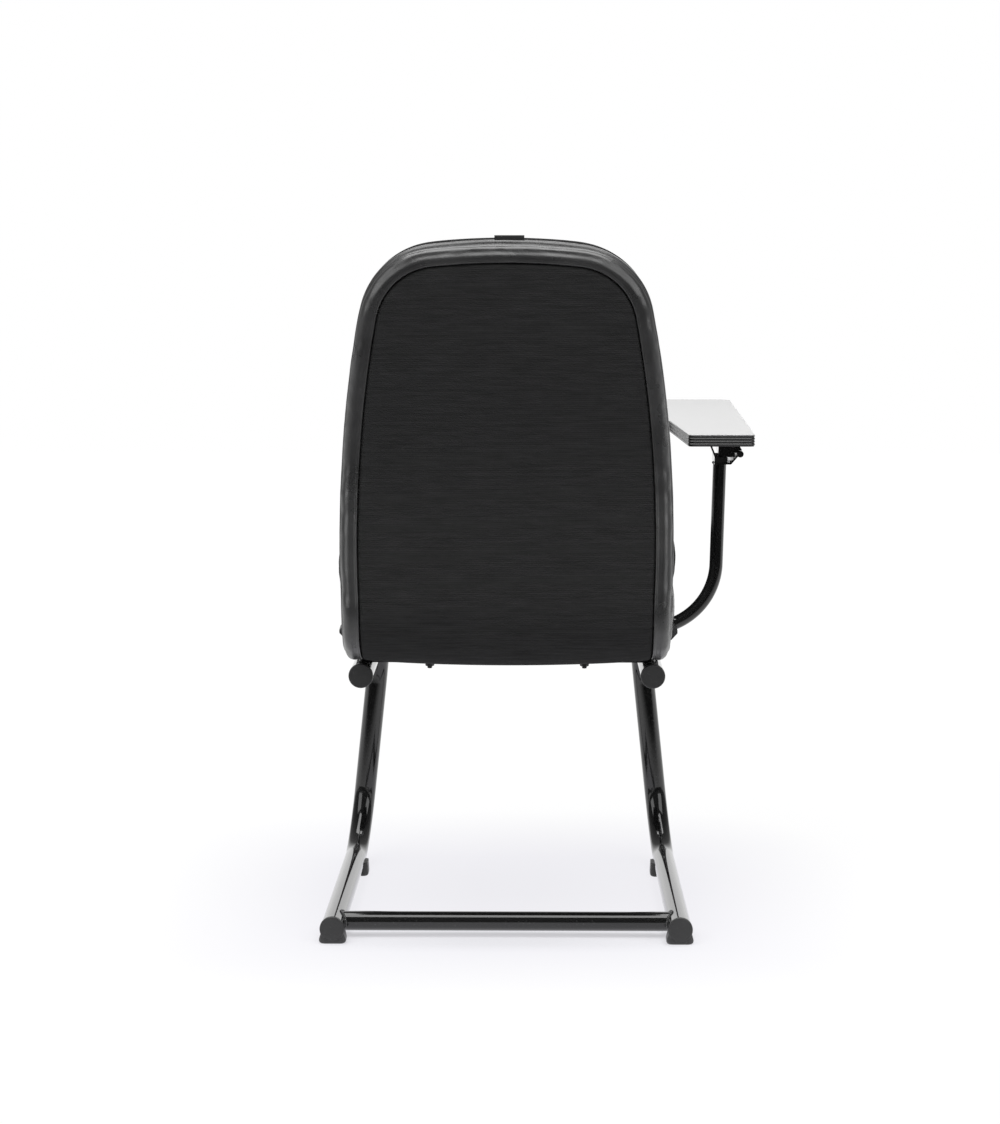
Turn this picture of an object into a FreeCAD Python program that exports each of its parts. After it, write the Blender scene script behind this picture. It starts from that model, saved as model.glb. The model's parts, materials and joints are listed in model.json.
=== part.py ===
import FreeCAD, Part
import math
import os

from FreeCAD import Vector

# Student chair: a one-piece upholstered seat and back on two bent-tube side frames, with a writing
# tablet that folds up on a hinge. Millimetres and degrees. The chair faces -Y and +Z is up. The origin
# is on the floor, midway between the four feet. The sitter's right is -X, the tablet's side.

# Side frames: one bent tube each, runner, upright and upper tube
TUBE_OD = 30.0
TUBE_WALL = 2.0
STANCE_LENGTH = 404.0
RUNNER_HALF_SPACING = 221.0
RUNNER_CLEARANCE = 4.5
SIDE_LEAN = 6.0
SIDE_TOE = 0.5
TUBE_END_BEHIND_FOOT = 12.0
GLIDE_TO_BEND = 2.0
LOWER_BEND_RADIUS = 88.0
UPPER_BEND_RADIUS = 88.0
UPPER_TUBE_RISE = 314.5
UPPER_TUBE_PITCH = 2.0
UPPER_TUBE_SETBACK = 80.0

# Feet, glides and tube end caps
CAP_FLANGE_RADIUS = 15.8
CAP_FLANGE_THICKNESS = 5.0
CAP_EDGE_ROUND = 1.5
CAP_STEM_LENGTH = 20.0
STEM_CLEARANCE = 0.1
REAR_FOOT_WIDTH = 34.5
REAR_FOOT_TOP_WIDTH = 25.0
REAR_FOOT_LENGTH = 32.0
GLIDE_WIDTH = 35.0
GLIDE_TOP_WIDTH = 33.0
GLIDE_LENGTH = 34.0
GLIDE_INWARD = 2.5
FOOT_FLARE_HEIGHT = 5.0
FOOT_CORNER_ROUND = 8.0
FOOT_EDGE_ROUND = 3.5

# Cross members that tie the side frames together and carry the seat
CROSSBAR_OD = 25.0
CROSSBAR_WALL = 2.0
CROSSBAR_FROM_TUBE_END = 44.0
STRAP_WIDTH = 26.0
STRAP_THICKNESS = 8.5
STRAP_PAST_TUBE_AXIS = 4.0
STRAP_CORNER_RADIUS = 6.0
STRAP_FROM_UPPER_END = 30.0
FRONT_STRAP_REACH = 312.0
CARRIER_REACH = 171.0
CARRIER_WIDTH = 25.0
CARRIER_WALL = 2.0
CARRIER_PAST_TUBE_AXIS = 32.4
PLUG_DOME_LENGTH = 10.0
PLUG_TIP_HEIGHT = 4.0
PLUG_STEM_LENGTH = 15.0
PLUG_FLANGE_THICKNESS = 2.0

# Seat fasteners
SEAT_PITCH = 6.5
STUD_DIAMETER = 6.0
STUD_HALF_SPACING = 100.0
STUD_HEAD_RADIUS = 9.0
STUD_HEAD_THICKNESS = 2.0
STUD_PAST_NUT = 3.0
HOLE_CLEARANCE = 0.3
WASHER_RADIUS = 6.5
WASHER_THICKNESS = 1.6
NUT_ACROSS_FLATS = 10.0
NUT_HEIGHT = 6.0
BOLT_HEAD_HEIGHT = 4.0
SPACER_RADIUS = 11.0

# Upholstered shell: rear and under surface, then the layers towards the sitter
LUMBAR_Z = 600.0
LUMBAR_FORWARD = 30.0
BACK_RECLINE = 13.0
PELVIS_LEAN = 6.8
LUMBAR_RADIUS = 350.0
BELLY_RADIUS = 75.0
CREASE_RADIUS = 12.0
PANEL_THICKNESS = 9.0
BOARD_THICKNESS = 11.0
BACK_CUSHION_THICKNESS = 40.0
SEAT_CUSHION_THICKNESS = 62.0
LAYER_GAP = 0.3
SEAM_GAP = 1.0
BAND_WIDTH = 23.0
BAND_ROUND = 12.0
BOARD_INSET = 6.0
CUSHION_ROUND = 16.0
BACK_TOP_Z = 892.0
BAND_BELOW_TOP = 8.0
BACK_HALF_WIDTH = 211.0
BACK_WIDEST_Z = 515.0
BACK_SIDE_RADIUS = 1466.0
BACK_CORNER_RADIUS = 102.0
BACK_CROWN_RADIUS = 900.0
SEAT_HALF_WIDTH = 231.0
SEAT_FORWARD_REACH = 522.0
SEAT_WIDEST_REACH = 425.0
SEAT_SIDE_RADIUS = 2400.0
SEAT_CORNER_RADIUS = 80.0
SEAT_CROWN_RADIUS = 1100.0
TAG_WIDTH = 37.0
TAG_HEIGHT = 9.5
TAG_THICKNESS = 1.0
TAG_OFFSET = -4.0

# Tablet arm
ARM_OD = 18.0
ARM_WALL = 2.0
ARM_BEND_RADIUS = 91.0
ARM_LEAN = 1.6
ARM_TOP_X = -285.0
ARM_END_FROM_CARRIER_END = 13.0
ARM_BELOW_SEAT = 15.2
ARM_FOOT_THICKNESS = 4.0
ARM_FOOT_LENGTH = 74.0
ARM_FOOT_INSIDE_PLUG = 1.0
ARM_BITE = 1.0
ARM_BOLT_FROM_CARRIER_END = 25.0
ARM_BOLT_SPACING = 29.0

# Tablet hinge, about a fore-and-aft pin
PIN_OUTSIDE_ARM = 25.0
PIN_Z = 604.0
TABLET_PITCH = 2.3
PIN_RADIUS = 2.5
PIN_HEAD_RADIUS = 4.0
PIN_HEAD_THICKNESS = 2.0
PIN_RUNNING_CLEARANCE = 0.05
KNUCKLE_RADIUS = 4.5
KNUCKLE_SIDE_GAP = 0.5
HINGE_LENGTH = 60.0
LEAF_KNUCKLE_LENGTH = 22.0
HINGE_SHEET = 2.5
LEAF_ABOVE_PIN = 11.3
LEAF_BELOW_PIN = 4.0
LEAF_CLEAR_OF_BRACKET = 0.5
LEAF_WIDTH = 22.0
LEAF_CHEEK_PAST_PIN = 2.5
LEAF_CHEEK_TOP_INSIDE_PIN = 1.2
LEAF_CHAMFER_WIDTH = 6.0
LEAF_CHAMFER_HEIGHT = 4.0
BRACKET_FLOOR_BELOW_PIN = 14.0
BRACKET_NEAR = 12.2
BRACKET_WIDTH = 22.2
BRACKET_WING_START = 4.0
BRACKET_WING_OUT = 6.0
REST_CLEARANCE = 0.3
REST_BLOCK_INSET = 2.0
REST_BLOCK_LENGTH = 44.0

# Writing tablet
TABLET_THICKNESS = 16.0
LAMINATE_THICKNESS = 1.0
LAMINATE_ROUND = 0.5
EDGING_THICKNESS = 2.5
EDGING_ROUND = 1.5
TABLET_BEHIND_PIN = 42.0
TABLET_LENGTH = 480.0
TABLET_OUTSIDE_PIN = 18.5
TABLET_FRONT_TAPER = 5.0
TABLET_STEM_WIDTH = 88.0
TABLET_STEM_SLANT = 25.0
TABLET_WIDTH = 278.0
TABLET_HOLLOW_DEPTH = 250.0
TABLET_INNER_RADIUS = 50.0
TABLET_INNER_STRAIGHT = 35.0
TABLET_FRONT_INNER_RADIUS = 40.0
TABLET_FRONT_OUTER_RADIUS = 18.0
TABLET_REAR_RADIUS = 5.0
SCREW_RADIUS = 2.0
SCREW_HEAD_RADIUS = 3.6
SCREW_HEAD_HEIGHT = 2.4
SCREW_DEPTH = 10.0
SCREW_PITCH = 15.0
SCREW_COUNT = 4

# Places that follow from the sizes above
TUBE_RADIUS = TUBE_OD / 2
REAR_FOOT_Y = STANCE_LENGTH / 2
FRONT_GLIDE_Y = -STANCE_LENGTH / 2
RUNNER_AXIS_Z = RUNNER_CLEARANCE + TUBE_RADIUS
RUNNER_END_Y = REAR_FOOT_Y + TUBE_END_BEHIND_FOOT
UPRIGHT_Y = FRONT_GLIDE_Y - GLIDE_LENGTH / 2 - GLIDE_TO_BEND - LOWER_BEND_RADIUS
UPPER_END_Y = RUNNER_END_Y - UPPER_TUBE_SETBACK
REAR_FACE_Y = RUNNER_END_Y + CAP_FLANGE_THICKNESS
BRACKET_SLOPE = BRACKET_NEAR / BRACKET_FLOOR_BELOW_PIN
BRACKET_SLANT_WIDTH = HINGE_SHEET * math.hypot(BRACKET_SLOPE, 1)
LEAF_NEAR = BRACKET_SLANT_WIDTH + LEAF_BELOW_PIN * BRACKET_SLOPE + LEAF_CLEAR_OF_BRACKET
STRAP_Y = UPPER_END_Y - STRAP_FROM_UPPER_END
TABLET_HOLLOW_RADIUS = (TABLET_WIDTH - TABLET_STEM_WIDTH - TABLET_STEM_SLANT - TABLET_INNER_RADIUS
                        - TABLET_INNER_STRAIGHT)
RIGHT = Vector(1, 0, 0)
BACKWARD = Vector(0, 1, 0)
UP = Vector(0, 0, 1)
CENTRE = Vector(0, 0, 0)
CUT_REACH = 1000.0
HEX_SIDES = 6
MOSTLY = 0.8
NEARLY_NONE = 0.001


def tangent(degrees):
    return math.tan(math.radians(degrees))


def block(low, high):
    low = Vector(*low)
    size = Vector(*high) - low
    return Part.makeBox(size.x, size.y, size.z, low)


def rod(radius, start, direction, length):
    return Part.makeCylinder(radius, length, start, direction)


def pipe(outer, inner, start, direction, length):
    return rod(outer, start, direction, length).cut(rod(inner, start, direction, length))


def mirrored(shape):
    return shape.mirror(CENTRE, RIGHT)


def joined(shapes):
    first, *others = shapes
    return first.fuse(others).removeSplitter()


def corner_arc(before, corner, after, radius):
    to_before = (before - corner).normalize()
    to_after = (after - corner).normalize()
    half_turn = to_before.getAngle(to_after) / 2
    reach = radius / math.tan(half_turn)
    bisector = (to_before + to_after).normalize()
    middle = corner + bisector * (radius / math.sin(half_turn) - radius)
    return corner + to_before * reach, middle, corner + to_after * reach


def rounded_edges(points, radii, closed=False):
    """Straight runs between the points, with a tangent arc of the given radius at each corner."""
    count = len(points)
    spans = []
    for index, radius in enumerate(radii):
        corner = points[index]
        if radius:
            spans.append(corner_arc(points[index - 1], corner, points[(index + 1) % count], radius))
        else:
            spans.append((corner, None, corner))
    edges = []
    for index, (start, middle, end) in enumerate(spans):
        if middle:
            edges.append(Part.Arc(start, middle, end).toShape())
        if closed or index + 1 < count:
            edges.append(Part.LineSegment(end, spans[(index + 1) % count][0]).toShape())
    return edges


def bent_rod(points, radii, radius):
    path = Part.Wire(rounded_edges(points, radii))
    ring = Part.Wire(Part.makeCircle(radius, points[0], points[1] - points[0]))
    return path.makePipeShell([ring], True, True)


def upright_edges(shape):
    return [edge for edge in shape.Edges if abs(edge.tangentAt(edge.FirstParameter).z) > MOSTLY]


def face_normal(face):
    low_u, high_u, low_v, high_v = face.ParameterRange
    return face.normalAt((low_u + high_u) / 2, (low_v + high_v) / 2)


def edges_between(shape, first_kind, second_kind):
    """Edges shared by a face of the first kind and one of the second, told apart by their normals."""
    seconds = [edge for face in shape.Faces if second_kind(face_normal(face)) for edge in face.Edges]
    firsts = [edge for face in shape.Faces if first_kind(face_normal(face)) for edge in face.Edges]
    return [edge for edge in firsts if any(edge.isSame(other) for other in seconds)]


# Side frames, their caps and feet

def frame_points():
    front_rise = UPPER_TUBE_RISE + (UPPER_END_Y - UPRIGHT_Y) * tangent(UPPER_TUBE_PITCH)
    return [
        Vector(0, RUNNER_END_Y, 0),
        Vector(0, UPRIGHT_Y, 0),
        Vector(0, UPRIGHT_Y, front_rise),
        Vector(0, UPPER_END_Y, UPPER_TUBE_RISE),
    ]


def on_left_side(shape):
    """Stands a piece, drawn in the plane of a side frame, in its place on the sitter's left."""
    shape = shape.copy()
    shape.rotate(CENTRE, BACKWARD, -SIDE_LEAN)
    shape.rotate(Vector(0, RUNNER_END_Y, 0), UP, -SIDE_TOE)
    shape.translate(Vector(RUNNER_HALF_SPACING, 0, RUNNER_AXIS_Z))
    return shape


def frame_rod(radius):
    return on_left_side(bent_rod(frame_points(), [0, LOWER_BEND_RADIUS, UPPER_BEND_RADIUS, 0], radius))


def upper_tube_axis_z(y):
    rise = UPPER_TUBE_RISE + (UPPER_END_Y - y) * tangent(UPPER_TUBE_PITCH)
    return RUNNER_AXIS_Z + rise * math.cos(math.radians(SIDE_LEAN))


def runner_axis_x(y):
    return RUNNER_HALF_SPACING - (RUNNER_END_Y - y) * tangent(SIDE_TOE)


def upper_tube_axis_x(y):
    return runner_axis_x(y) - (upper_tube_axis_z(y) - RUNNER_AXIS_Z) * tangent(SIDE_LEAN)


def end_cap(tube_end, outward):
    """A plug with a flange, driven into a tube's end."""
    flange = rod(CAP_FLANGE_RADIUS, tube_end, outward, CAP_FLANGE_THICKNESS)
    rim = [edge for edge in flange.Edges if edge.CenterOfMass.distanceToPoint(tube_end) > CAP_EDGE_ROUND]
    outer_rim = [edge for edge in rim if edge.isClosed()]
    flange = flange.makeFillet(CAP_EDGE_ROUND, outer_rim)
    stem_radius = TUBE_RADIUS - TUBE_WALL - STEM_CLEARANCE
    stem = rod(stem_radius, tube_end, -outward, CAP_STEM_LENGTH)
    return joined([flange, stem])


def upper_end_cap():
    points = frame_points()
    outward = (points[3] - points[2]).normalize()
    return on_left_side(end_cap(points[3], outward))


def sole(centre_x, y_low, y_high, width, top_width):
    """A foot's pad, flared from the runner's axis to the floor, with its corners and floor edge rounded."""
    half = width / 2
    top_half = top_width / 2
    pad = block((centre_x - half, y_low, 0), (centre_x + half, y_high, RUNNER_AXIS_Z))
    pad = pad.makeFillet(FOOT_CORNER_ROUND, upright_edges(pad))
    pad = pad.makeFillet(FOOT_EDGE_ROUND, [edge for edge in pad.Edges if edge.BoundBox.ZMax < NEARLY_NONE])
    profile = [(-half, 0), (half, 0), (half, FOOT_FLARE_HEIGHT), (top_half, RUNNER_AXIS_Z),
               (-top_half, RUNNER_AXIS_Z), (-half, FOOT_FLARE_HEIGHT)]
    corners = [Vector(centre_x + x, y_low, z) for x, z in profile]
    flare = Part.Face(Part.makePolygon(corners + corners[:1])).extrude(BACKWARD * (y_high - y_low))
    return pad.common(flare)


def rear_foot(tube):
    cap = on_left_side(end_cap(frame_points()[0], BACKWARD))
    low = REAR_FOOT_Y - REAR_FOOT_LENGTH / 2
    high = REAR_FOOT_Y + REAR_FOOT_LENGTH / 2
    pad = sole(runner_axis_x(REAR_FOOT_Y), low, high, REAR_FOOT_WIDTH, REAR_FOOT_TOP_WIDTH).cut(tube)
    return joined([pad, cap])


def front_glide(tube):
    low = FRONT_GLIDE_Y - GLIDE_LENGTH / 2
    high = FRONT_GLIDE_Y + GLIDE_LENGTH / 2
    centre_x = runner_axis_x(FRONT_GLIDE_Y) - GLIDE_INWARD
    return sole(centre_x, low, high, GLIDE_WIDTH, GLIDE_TOP_WIDTH).cut(tube)


def rear_crossbar(tubes):
    y = RUNNER_END_Y - CROSSBAR_FROM_TUBE_END
    half = runner_axis_x(y)
    outer = CROSSBAR_OD / 2
    bar = pipe(outer, outer - CROSSBAR_WALL, Vector(-half, y, RUNNER_AXIS_Z), RIGHT, 2 * half)
    return bar.cut(tubes)


# Cross members and fasteners below the seat, drawn level with the seat's underside at height 0

UNDERSIDE_Z = upper_tube_axis_z(STRAP_Y) + TUBE_RADIUS + STRAP_THICKNESS
CARRIER_HALF_LENGTH = upper_tube_axis_x(STRAP_Y - CARRIER_REACH) + CARRIER_PAST_TUBE_AXIS


def on_seat(shape):
    shape = shape.copy()
    shape.rotate(CENTRE, RIGHT, -SEAT_PITCH)
    shape.translate(Vector(0, STRAP_Y, UNDERSIDE_Z))
    return shape


def gap_below_seat(reach):
    return STRAP_THICKNESS + reach * tangent(SEAT_PITCH - UPPER_TUBE_PITCH)


def stud_places():
    """Where each stud goes through the seat, and the height of what it clamps below the seat."""
    rows = [(0.0, STRAP_THICKNESS), (CARRIER_REACH, gap_below_seat(CARRIER_REACH)),
            (FRONT_STRAP_REACH, gap_below_seat(FRONT_STRAP_REACH))]
    return [(side * STUD_HALF_SPACING, -reach, depth) for reach, depth in rows for side in (-1, 1)]


def stud_holes(radius):
    holes = [rod(radius, Vector(x, y, -CUT_REACH / 2), UP, CUT_REACH) for x, y, depth in stud_places()]
    return Part.makeCompound(holes)


def seat_strap(reach, bottom, tubes):
    half_length = upper_tube_axis_x(STRAP_Y - reach) + STRAP_PAST_TUBE_AXIS
    low = (-half_length, -reach - STRAP_WIDTH / 2, bottom)
    high = (half_length, -reach + STRAP_WIDTH / 2, bottom + STRAP_THICKNESS)
    bar = block(low, high)
    bar = bar.makeFillet(STRAP_CORNER_RADIUS, upright_edges(bar))
    bar = bar.cut(stud_holes(STUD_DIAMETER / 2 + HOLE_CLEARANCE))
    return on_seat(bar).cut(tubes)


def carrier_section(inset, low_x, high_x):
    half_width = CARRIER_WIDTH / 2 - inset
    low = (low_x, -CARRIER_REACH - half_width, inset - gap_below_seat(CARRIER_REACH))
    high = (high_x, -CARRIER_REACH + half_width, -inset)
    return block(low, high)


def arm_bolt_places():
    middle = -gap_below_seat(CARRIER_REACH) / 2
    outer_x = ARM_BOLT_FROM_CARRIER_END - CARRIER_HALF_LENGTH
    return [Vector(x, -CARRIER_REACH, middle) for x in (outer_x, outer_x + ARM_BOLT_SPACING)]


def arm_bolt_holes():
    radius = STUD_DIAMETER / 2 + HOLE_CLEARANCE
    reach = Vector(0, CUT_REACH / 2, 0)
    return Part.makeCompound([rod(radius, place - reach, BACKWARD, CUT_REACH) for place in arm_bolt_places()])


def arm_carrier_bar(tubes):
    outer = carrier_section(0, -CARRIER_HALF_LENGTH, CARRIER_HALF_LENGTH)
    inner = carrier_section(CARRIER_WALL, -CARRIER_HALF_LENGTH, CARRIER_HALF_LENGTH)
    bar = outer.cut(inner).cut(stud_holes(STUD_DIAMETER / 2 + HOLE_CLEARANCE)).cut(arm_bolt_holes())
    return on_seat(bar).cut(tubes)


def carrier_plug():
    """A plastic plug in the carrier's end, its face drawn out to a blunt ridge."""
    stem = carrier_section(CARRIER_WALL + STEM_CLEARANCE, CARRIER_HALF_LENGTH - PLUG_STEM_LENGTH,
                           CARRIER_HALF_LENGTH)
    height = gap_below_seat(CARRIER_REACH)
    base_x = CARRIER_HALF_LENGTH + PLUG_FLANGE_THICKNESS
    tip_x = CARRIER_HALF_LENGTH + PLUG_DOME_LENGTH
    tip_low = -(height + PLUG_TIP_HEIGHT) / 2
    tip_high = -(height - PLUG_TIP_HEIGHT) / 2
    profile = [(CARRIER_HALF_LENGTH, -height), (base_x, -height), (tip_x, tip_low), (tip_x, tip_high),
               (base_x, 0), (CARRIER_HALF_LENGTH, 0)]
    near_y = -CARRIER_REACH - CARRIER_WIDTH / 2
    corners = [Vector(x, near_y, z) for x, z in profile]
    dome = Part.Face(Part.makePolygon(corners + corners[:1])).extrude(Vector(0, CARRIER_WIDTH, 0))
    return on_seat(joined([dome, stem]))


def hex_prism(across_flats, height, centre, axis):
    """A hexagon standing on centre along +Z, or along +Y when the axis says so."""
    radius = across_flats / 2 / math.cos(math.pi / HEX_SIDES)
    angles = [2 * math.pi * turn / HEX_SIDES for turn in range(HEX_SIDES + 1)]
    corners = [Vector(radius * math.cos(angle), radius * math.sin(angle), 0) for angle in angles]
    prism = Part.Face(Part.makePolygon(corners)).extrude(UP * height)
    prism.Placement = FreeCAD.Placement(centre, FreeCAD.Rotation(UP, axis))
    return prism


def seat_studs():
    studs = []
    head_top = PANEL_THICKNESS + LAYER_GAP + BOARD_THICKNESS
    for x, y, depth in stud_places():
        low = -depth - WASHER_THICKNESS - NUT_HEIGHT - STUD_PAST_NUT
        head_low = head_top - STUD_HEAD_THICKNESS
        shank = rod(STUD_DIAMETER / 2, Vector(x, y, low), UP, head_low - low)
        head = rod(STUD_HEAD_RADIUS, Vector(x, y, head_low), UP, STUD_HEAD_THICKNESS)
        studs.append(shank.fuse(head))
    return on_seat(Part.makeCompound(studs))


def seat_washers():
    bore = STUD_DIAMETER / 2 + HOLE_CLEARANCE
    rings = []
    for x, y, depth in stud_places():
        start = Vector(x, y, -depth - WASHER_THICKNESS)
        rings.append(pipe(WASHER_RADIUS, bore, start, UP, WASHER_THICKNESS))
    return on_seat(Part.makeCompound(rings))


def seat_nuts():
    nuts = []
    for x, y, depth in stud_places():
        start = Vector(x, y, -depth - WASHER_THICKNESS - NUT_HEIGHT)
        nut = hex_prism(NUT_ACROSS_FLATS, NUT_HEIGHT, start, UP)
        nuts.append(nut.cut(rod(STUD_DIAMETER / 2, start, UP, NUT_HEIGHT)))
    return on_seat(Part.makeCompound(nuts))


def seat_spacers():
    """Tubes that hold the seat above the front strap."""
    length = gap_below_seat(FRONT_STRAP_REACH) - STRAP_THICKNESS
    bore = STUD_DIAMETER / 2 + HOLE_CLEARANCE
    starts = [Vector(side * STUD_HALF_SPACING, -FRONT_STRAP_REACH, -length) for side in (-1, 1)]
    return on_seat(Part.makeCompound([pipe(SPACER_RADIUS, bore, start, UP, length) for start in starts]))


# Upholstered shell, drawn as layers between offset copies of one side profile

def crossing(first_point, first_way, second_point, second_way):
    """Where two straight lines in the YZ plane meet."""
    apart = second_point - first_point
    turn = first_way.cross(second_way).x
    return first_point + first_way * (apart.cross(second_way).x / turn)


def side_profile(back_depth, seat_depth, corner_radius):
    """The shell's side view at the given depths inside its rear face and its underside."""
    recline = math.radians(BACK_RECLINE)
    lean = math.radians(PELVIS_LEAN)
    pitch = math.radians(SEAT_PITCH)
    back_way = Vector(0, math.sin(recline), math.cos(recline))
    pelvis_way = Vector(0, -math.sin(lean), math.cos(lean))
    seat_way = Vector(0, -math.cos(pitch), math.sin(pitch))
    lumbar = Vector(0, REAR_FACE_Y - LUMBAR_FORWARD, LUMBAR_Z)
    back_point = lumbar + RIGHT.cross(back_way) * back_depth
    pelvis_point = lumbar + RIGHT.cross(pelvis_way) * back_depth
    seat_point = Vector(0, STRAP_Y, UNDERSIDE_Z) - RIGHT.cross(seat_way) * seat_depth
    top = back_point + back_way * CUT_REACH / 2
    front = seat_point + seat_way * CUT_REACH
    lumbar_corner = crossing(back_point, back_way, pelvis_point, pelvis_way)
    belly_corner = crossing(pelvis_point, pelvis_way, seat_point, seat_way)
    radii = [0, LUMBAR_RADIUS + back_depth, corner_radius, 0]
    return [top, lumbar_corner, belly_corner, front], radii


def layer_profile(depth):
    return side_profile(depth, depth, BELLY_RADIUS - depth)


BOARD_BACK = PANEL_THICKNESS + LAYER_GAP
BOARD_FRONT = BOARD_BACK + BOARD_THICKNESS
CUSHION_BACK = BOARD_FRONT + LAYER_GAP


def front_profile():
    back_depth = CUSHION_BACK + BACK_CUSHION_THICKNESS
    return side_profile(back_depth, CUSHION_BACK + SEAT_CUSHION_THICKNESS, CREASE_RADIUS)


def layer_between(outer, inner):
    """A slab across the chair between two side profiles."""
    outer_points, inner_points = outer[0], inner[0]
    edges = rounded_edges(*outer) + rounded_edges(*inner)
    edges.append(Part.LineSegment(outer_points[0], inner_points[0]).toShape())
    edges.append(Part.LineSegment(outer_points[-1], inner_points[-1]).toShape())
    face = Part.Face(Part.Wire(Part.__sortEdges__(edges)))
    face.translate(-RIGHT * CUT_REACH / 2)
    return face.extrude(RIGHT * CUT_REACH)


def half_of_shell(side, gap):
    """Space on the back's side (+1) or the seat's side (-1) of the fold between belly and crease."""
    belly = layer_profile(0)[0][2]
    crease = front_profile()[0][2]
    along = (crease - belly).normalize()
    across = along.cross(RIGHT) * side
    start = belly - along * CUT_REACH + across * gap / 2
    end = crease + along * CUT_REACH + across * gap / 2
    corners = [start, end, end + across * 2 * CUT_REACH, start + across * 2 * CUT_REACH]
    face = Part.Face(Part.makePolygon(corners + corners[:1]))
    face.translate(-RIGHT * CUT_REACH / 2)
    return face.extrude(RIGHT * CUT_REACH)


def tombstone(crown, crown_radius, corner_radius, side_radius, half_width, widest, base, inset):
    """Outline with a crowned end, round corners and bowed sides, all tangent, as (x, height) triples."""
    crown_centre = Vector(0, crown - crown_radius, 0)
    side_centre = Vector(half_width - side_radius, widest, 0)
    apart = side_centre - crown_centre
    crown_span = crown_radius - corner_radius
    side_span = side_radius - corner_radius
    along = (crown_span ** 2 - side_span ** 2 + apart.Length ** 2) / (2 * apart.Length)
    aside = math.sqrt(crown_span ** 2 - along ** 2)
    ahead = apart * (1 / apart.Length)
    corner_centre = crown_centre + ahead * along + ahead.cross(UP) * aside
    crown_way = (corner_centre - crown_centre).normalize()
    side_way = (corner_centre - side_centre).normalize()
    corner_way = (crown_way + side_way).normalize()
    crown_end = crown_centre + crown_way * (crown_radius - inset)
    corner_middle = corner_centre + corner_way * (corner_radius - inset)
    corner_end = side_centre + side_way * (side_radius - inset)
    side_reach = side_radius - inset
    side_middle_height = (corner_end.y + base) / 2
    side_x = [side_centre.x + math.sqrt(side_reach ** 2 - (height - widest) ** 2)
              for height in (side_middle_height, base)]
    right = [crown_end, corner_middle, corner_end, Vector(side_x[0], side_middle_height, 0),
             Vector(side_x[1], base, 0)]
    left = [Vector(-point.x, point.y, 0) for point in right]
    top = Vector(0, crown - inset, 0)
    return [(left[0], top, right[0]), (right[0], right[1], right[2]), (right[2], right[3], right[4]),
            (left[0], left[1], left[2]), (left[2], left[3], left[4])]


def outline_prism(triples, place, sweep):
    """Sweeps a tombstone outline; place turns its flat points into points in the chair."""
    edges = [Part.Arc(*[place(point) for point in triple]).toShape() for triple in triples]
    edges.append(Part.LineSegment(place(triples[2][2]), place(triples[4][2])).toShape())
    face = Part.Face(Part.Wire(Part.__sortEdges__(edges)))
    face.translate(sweep * -0.5)
    return face.extrude(sweep)


def back_prism(top, inset):
    base = UNDERSIDE_Z - BELLY_RADIUS
    triples = tombstone(top, BACK_CROWN_RADIUS, BACK_CORNER_RADIUS, BACK_SIDE_RADIUS, BACK_HALF_WIDTH,
                        BACK_WIDEST_Z, base, inset)
    return outline_prism(triples, lambda flat: Vector(flat.x, 0, flat.y), BACKWARD * 2 * CUT_REACH)


def seat_prism(inset):
    triples = tombstone(SEAT_FORWARD_REACH - REAR_FACE_Y, SEAT_CROWN_RADIUS, SEAT_CORNER_RADIUS,
                        SEAT_SIDE_RADIUS, SEAT_HALF_WIDTH, SEAT_WIDEST_REACH - REAR_FACE_Y,
                        -REAR_FACE_Y - BELLY_RADIUS, inset)
    return outline_prism(triples, lambda flat: Vector(flat.x, -flat.y, 0), UP * 2 * CUT_REACH)


def back_wall(normal):
    return abs(normal.y) < NEARLY_NONE


def seat_wall(normal):
    return abs(normal.z) < NEARLY_NONE


def facing_front(normal):
    return normal.y < -MOSTLY


def facing_rear(normal):
    return normal.y > MOSTLY


def facing_up(normal):
    return normal.z > MOSTLY


def facing_down(normal):
    return normal.z < -MOSTLY


def back_cushion():
    layer = layer_between(layer_profile(CUSHION_BACK), front_profile())
    pad = layer.common(half_of_shell(1, LAYER_GAP)).common(back_prism(BACK_TOP_Z, 0))
    return pad.makeFillet(CUSHION_ROUND, edges_between(pad, back_wall, facing_front))


def seat_cushion():
    layer = layer_between(layer_profile(CUSHION_BACK), front_profile())
    pad = layer.common(half_of_shell(-1, LAYER_GAP)).common(seat_prism(0))
    return pad.makeFillet(CUSHION_ROUND, edges_between(pad, seat_wall, facing_up))


def shell_board():
    """The moulded plywood board inside the upholstery, with the studs' heads let into its top."""
    layer = layer_between(layer_profile(BOARD_BACK), layer_profile(BOARD_FRONT))
    back = layer.common(half_of_shell(1, 0)).common(back_prism(BACK_TOP_Z - BAND_BELOW_TOP, BOARD_INSET))
    seat = layer.common(half_of_shell(-1, 0)).common(seat_prism(BOARD_INSET))
    board = joined([back, seat])
    head_low = BOARD_FRONT - STUD_HEAD_THICKNESS
    heads = [rod(STUD_HEAD_RADIUS + HOLE_CLEARANCE, Vector(x, y, head_low), UP, CUSHION_BACK)
             for x, y, depth in stud_places()]
    board = board.cut(on_seat(Part.makeCompound(heads)))
    return board.cut(on_seat(stud_holes(STUD_DIAMETER / 2 + HOLE_CLEARANCE)))


def back_panel():
    layer = layer_between(layer_profile(0), layer_profile(PANEL_THICKNESS))
    inset = BAND_WIDTH + SEAM_GAP
    return layer.common(half_of_shell(1, LAYER_GAP)).common(back_prism(BACK_TOP_Z - BAND_BELOW_TOP, inset))


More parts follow.
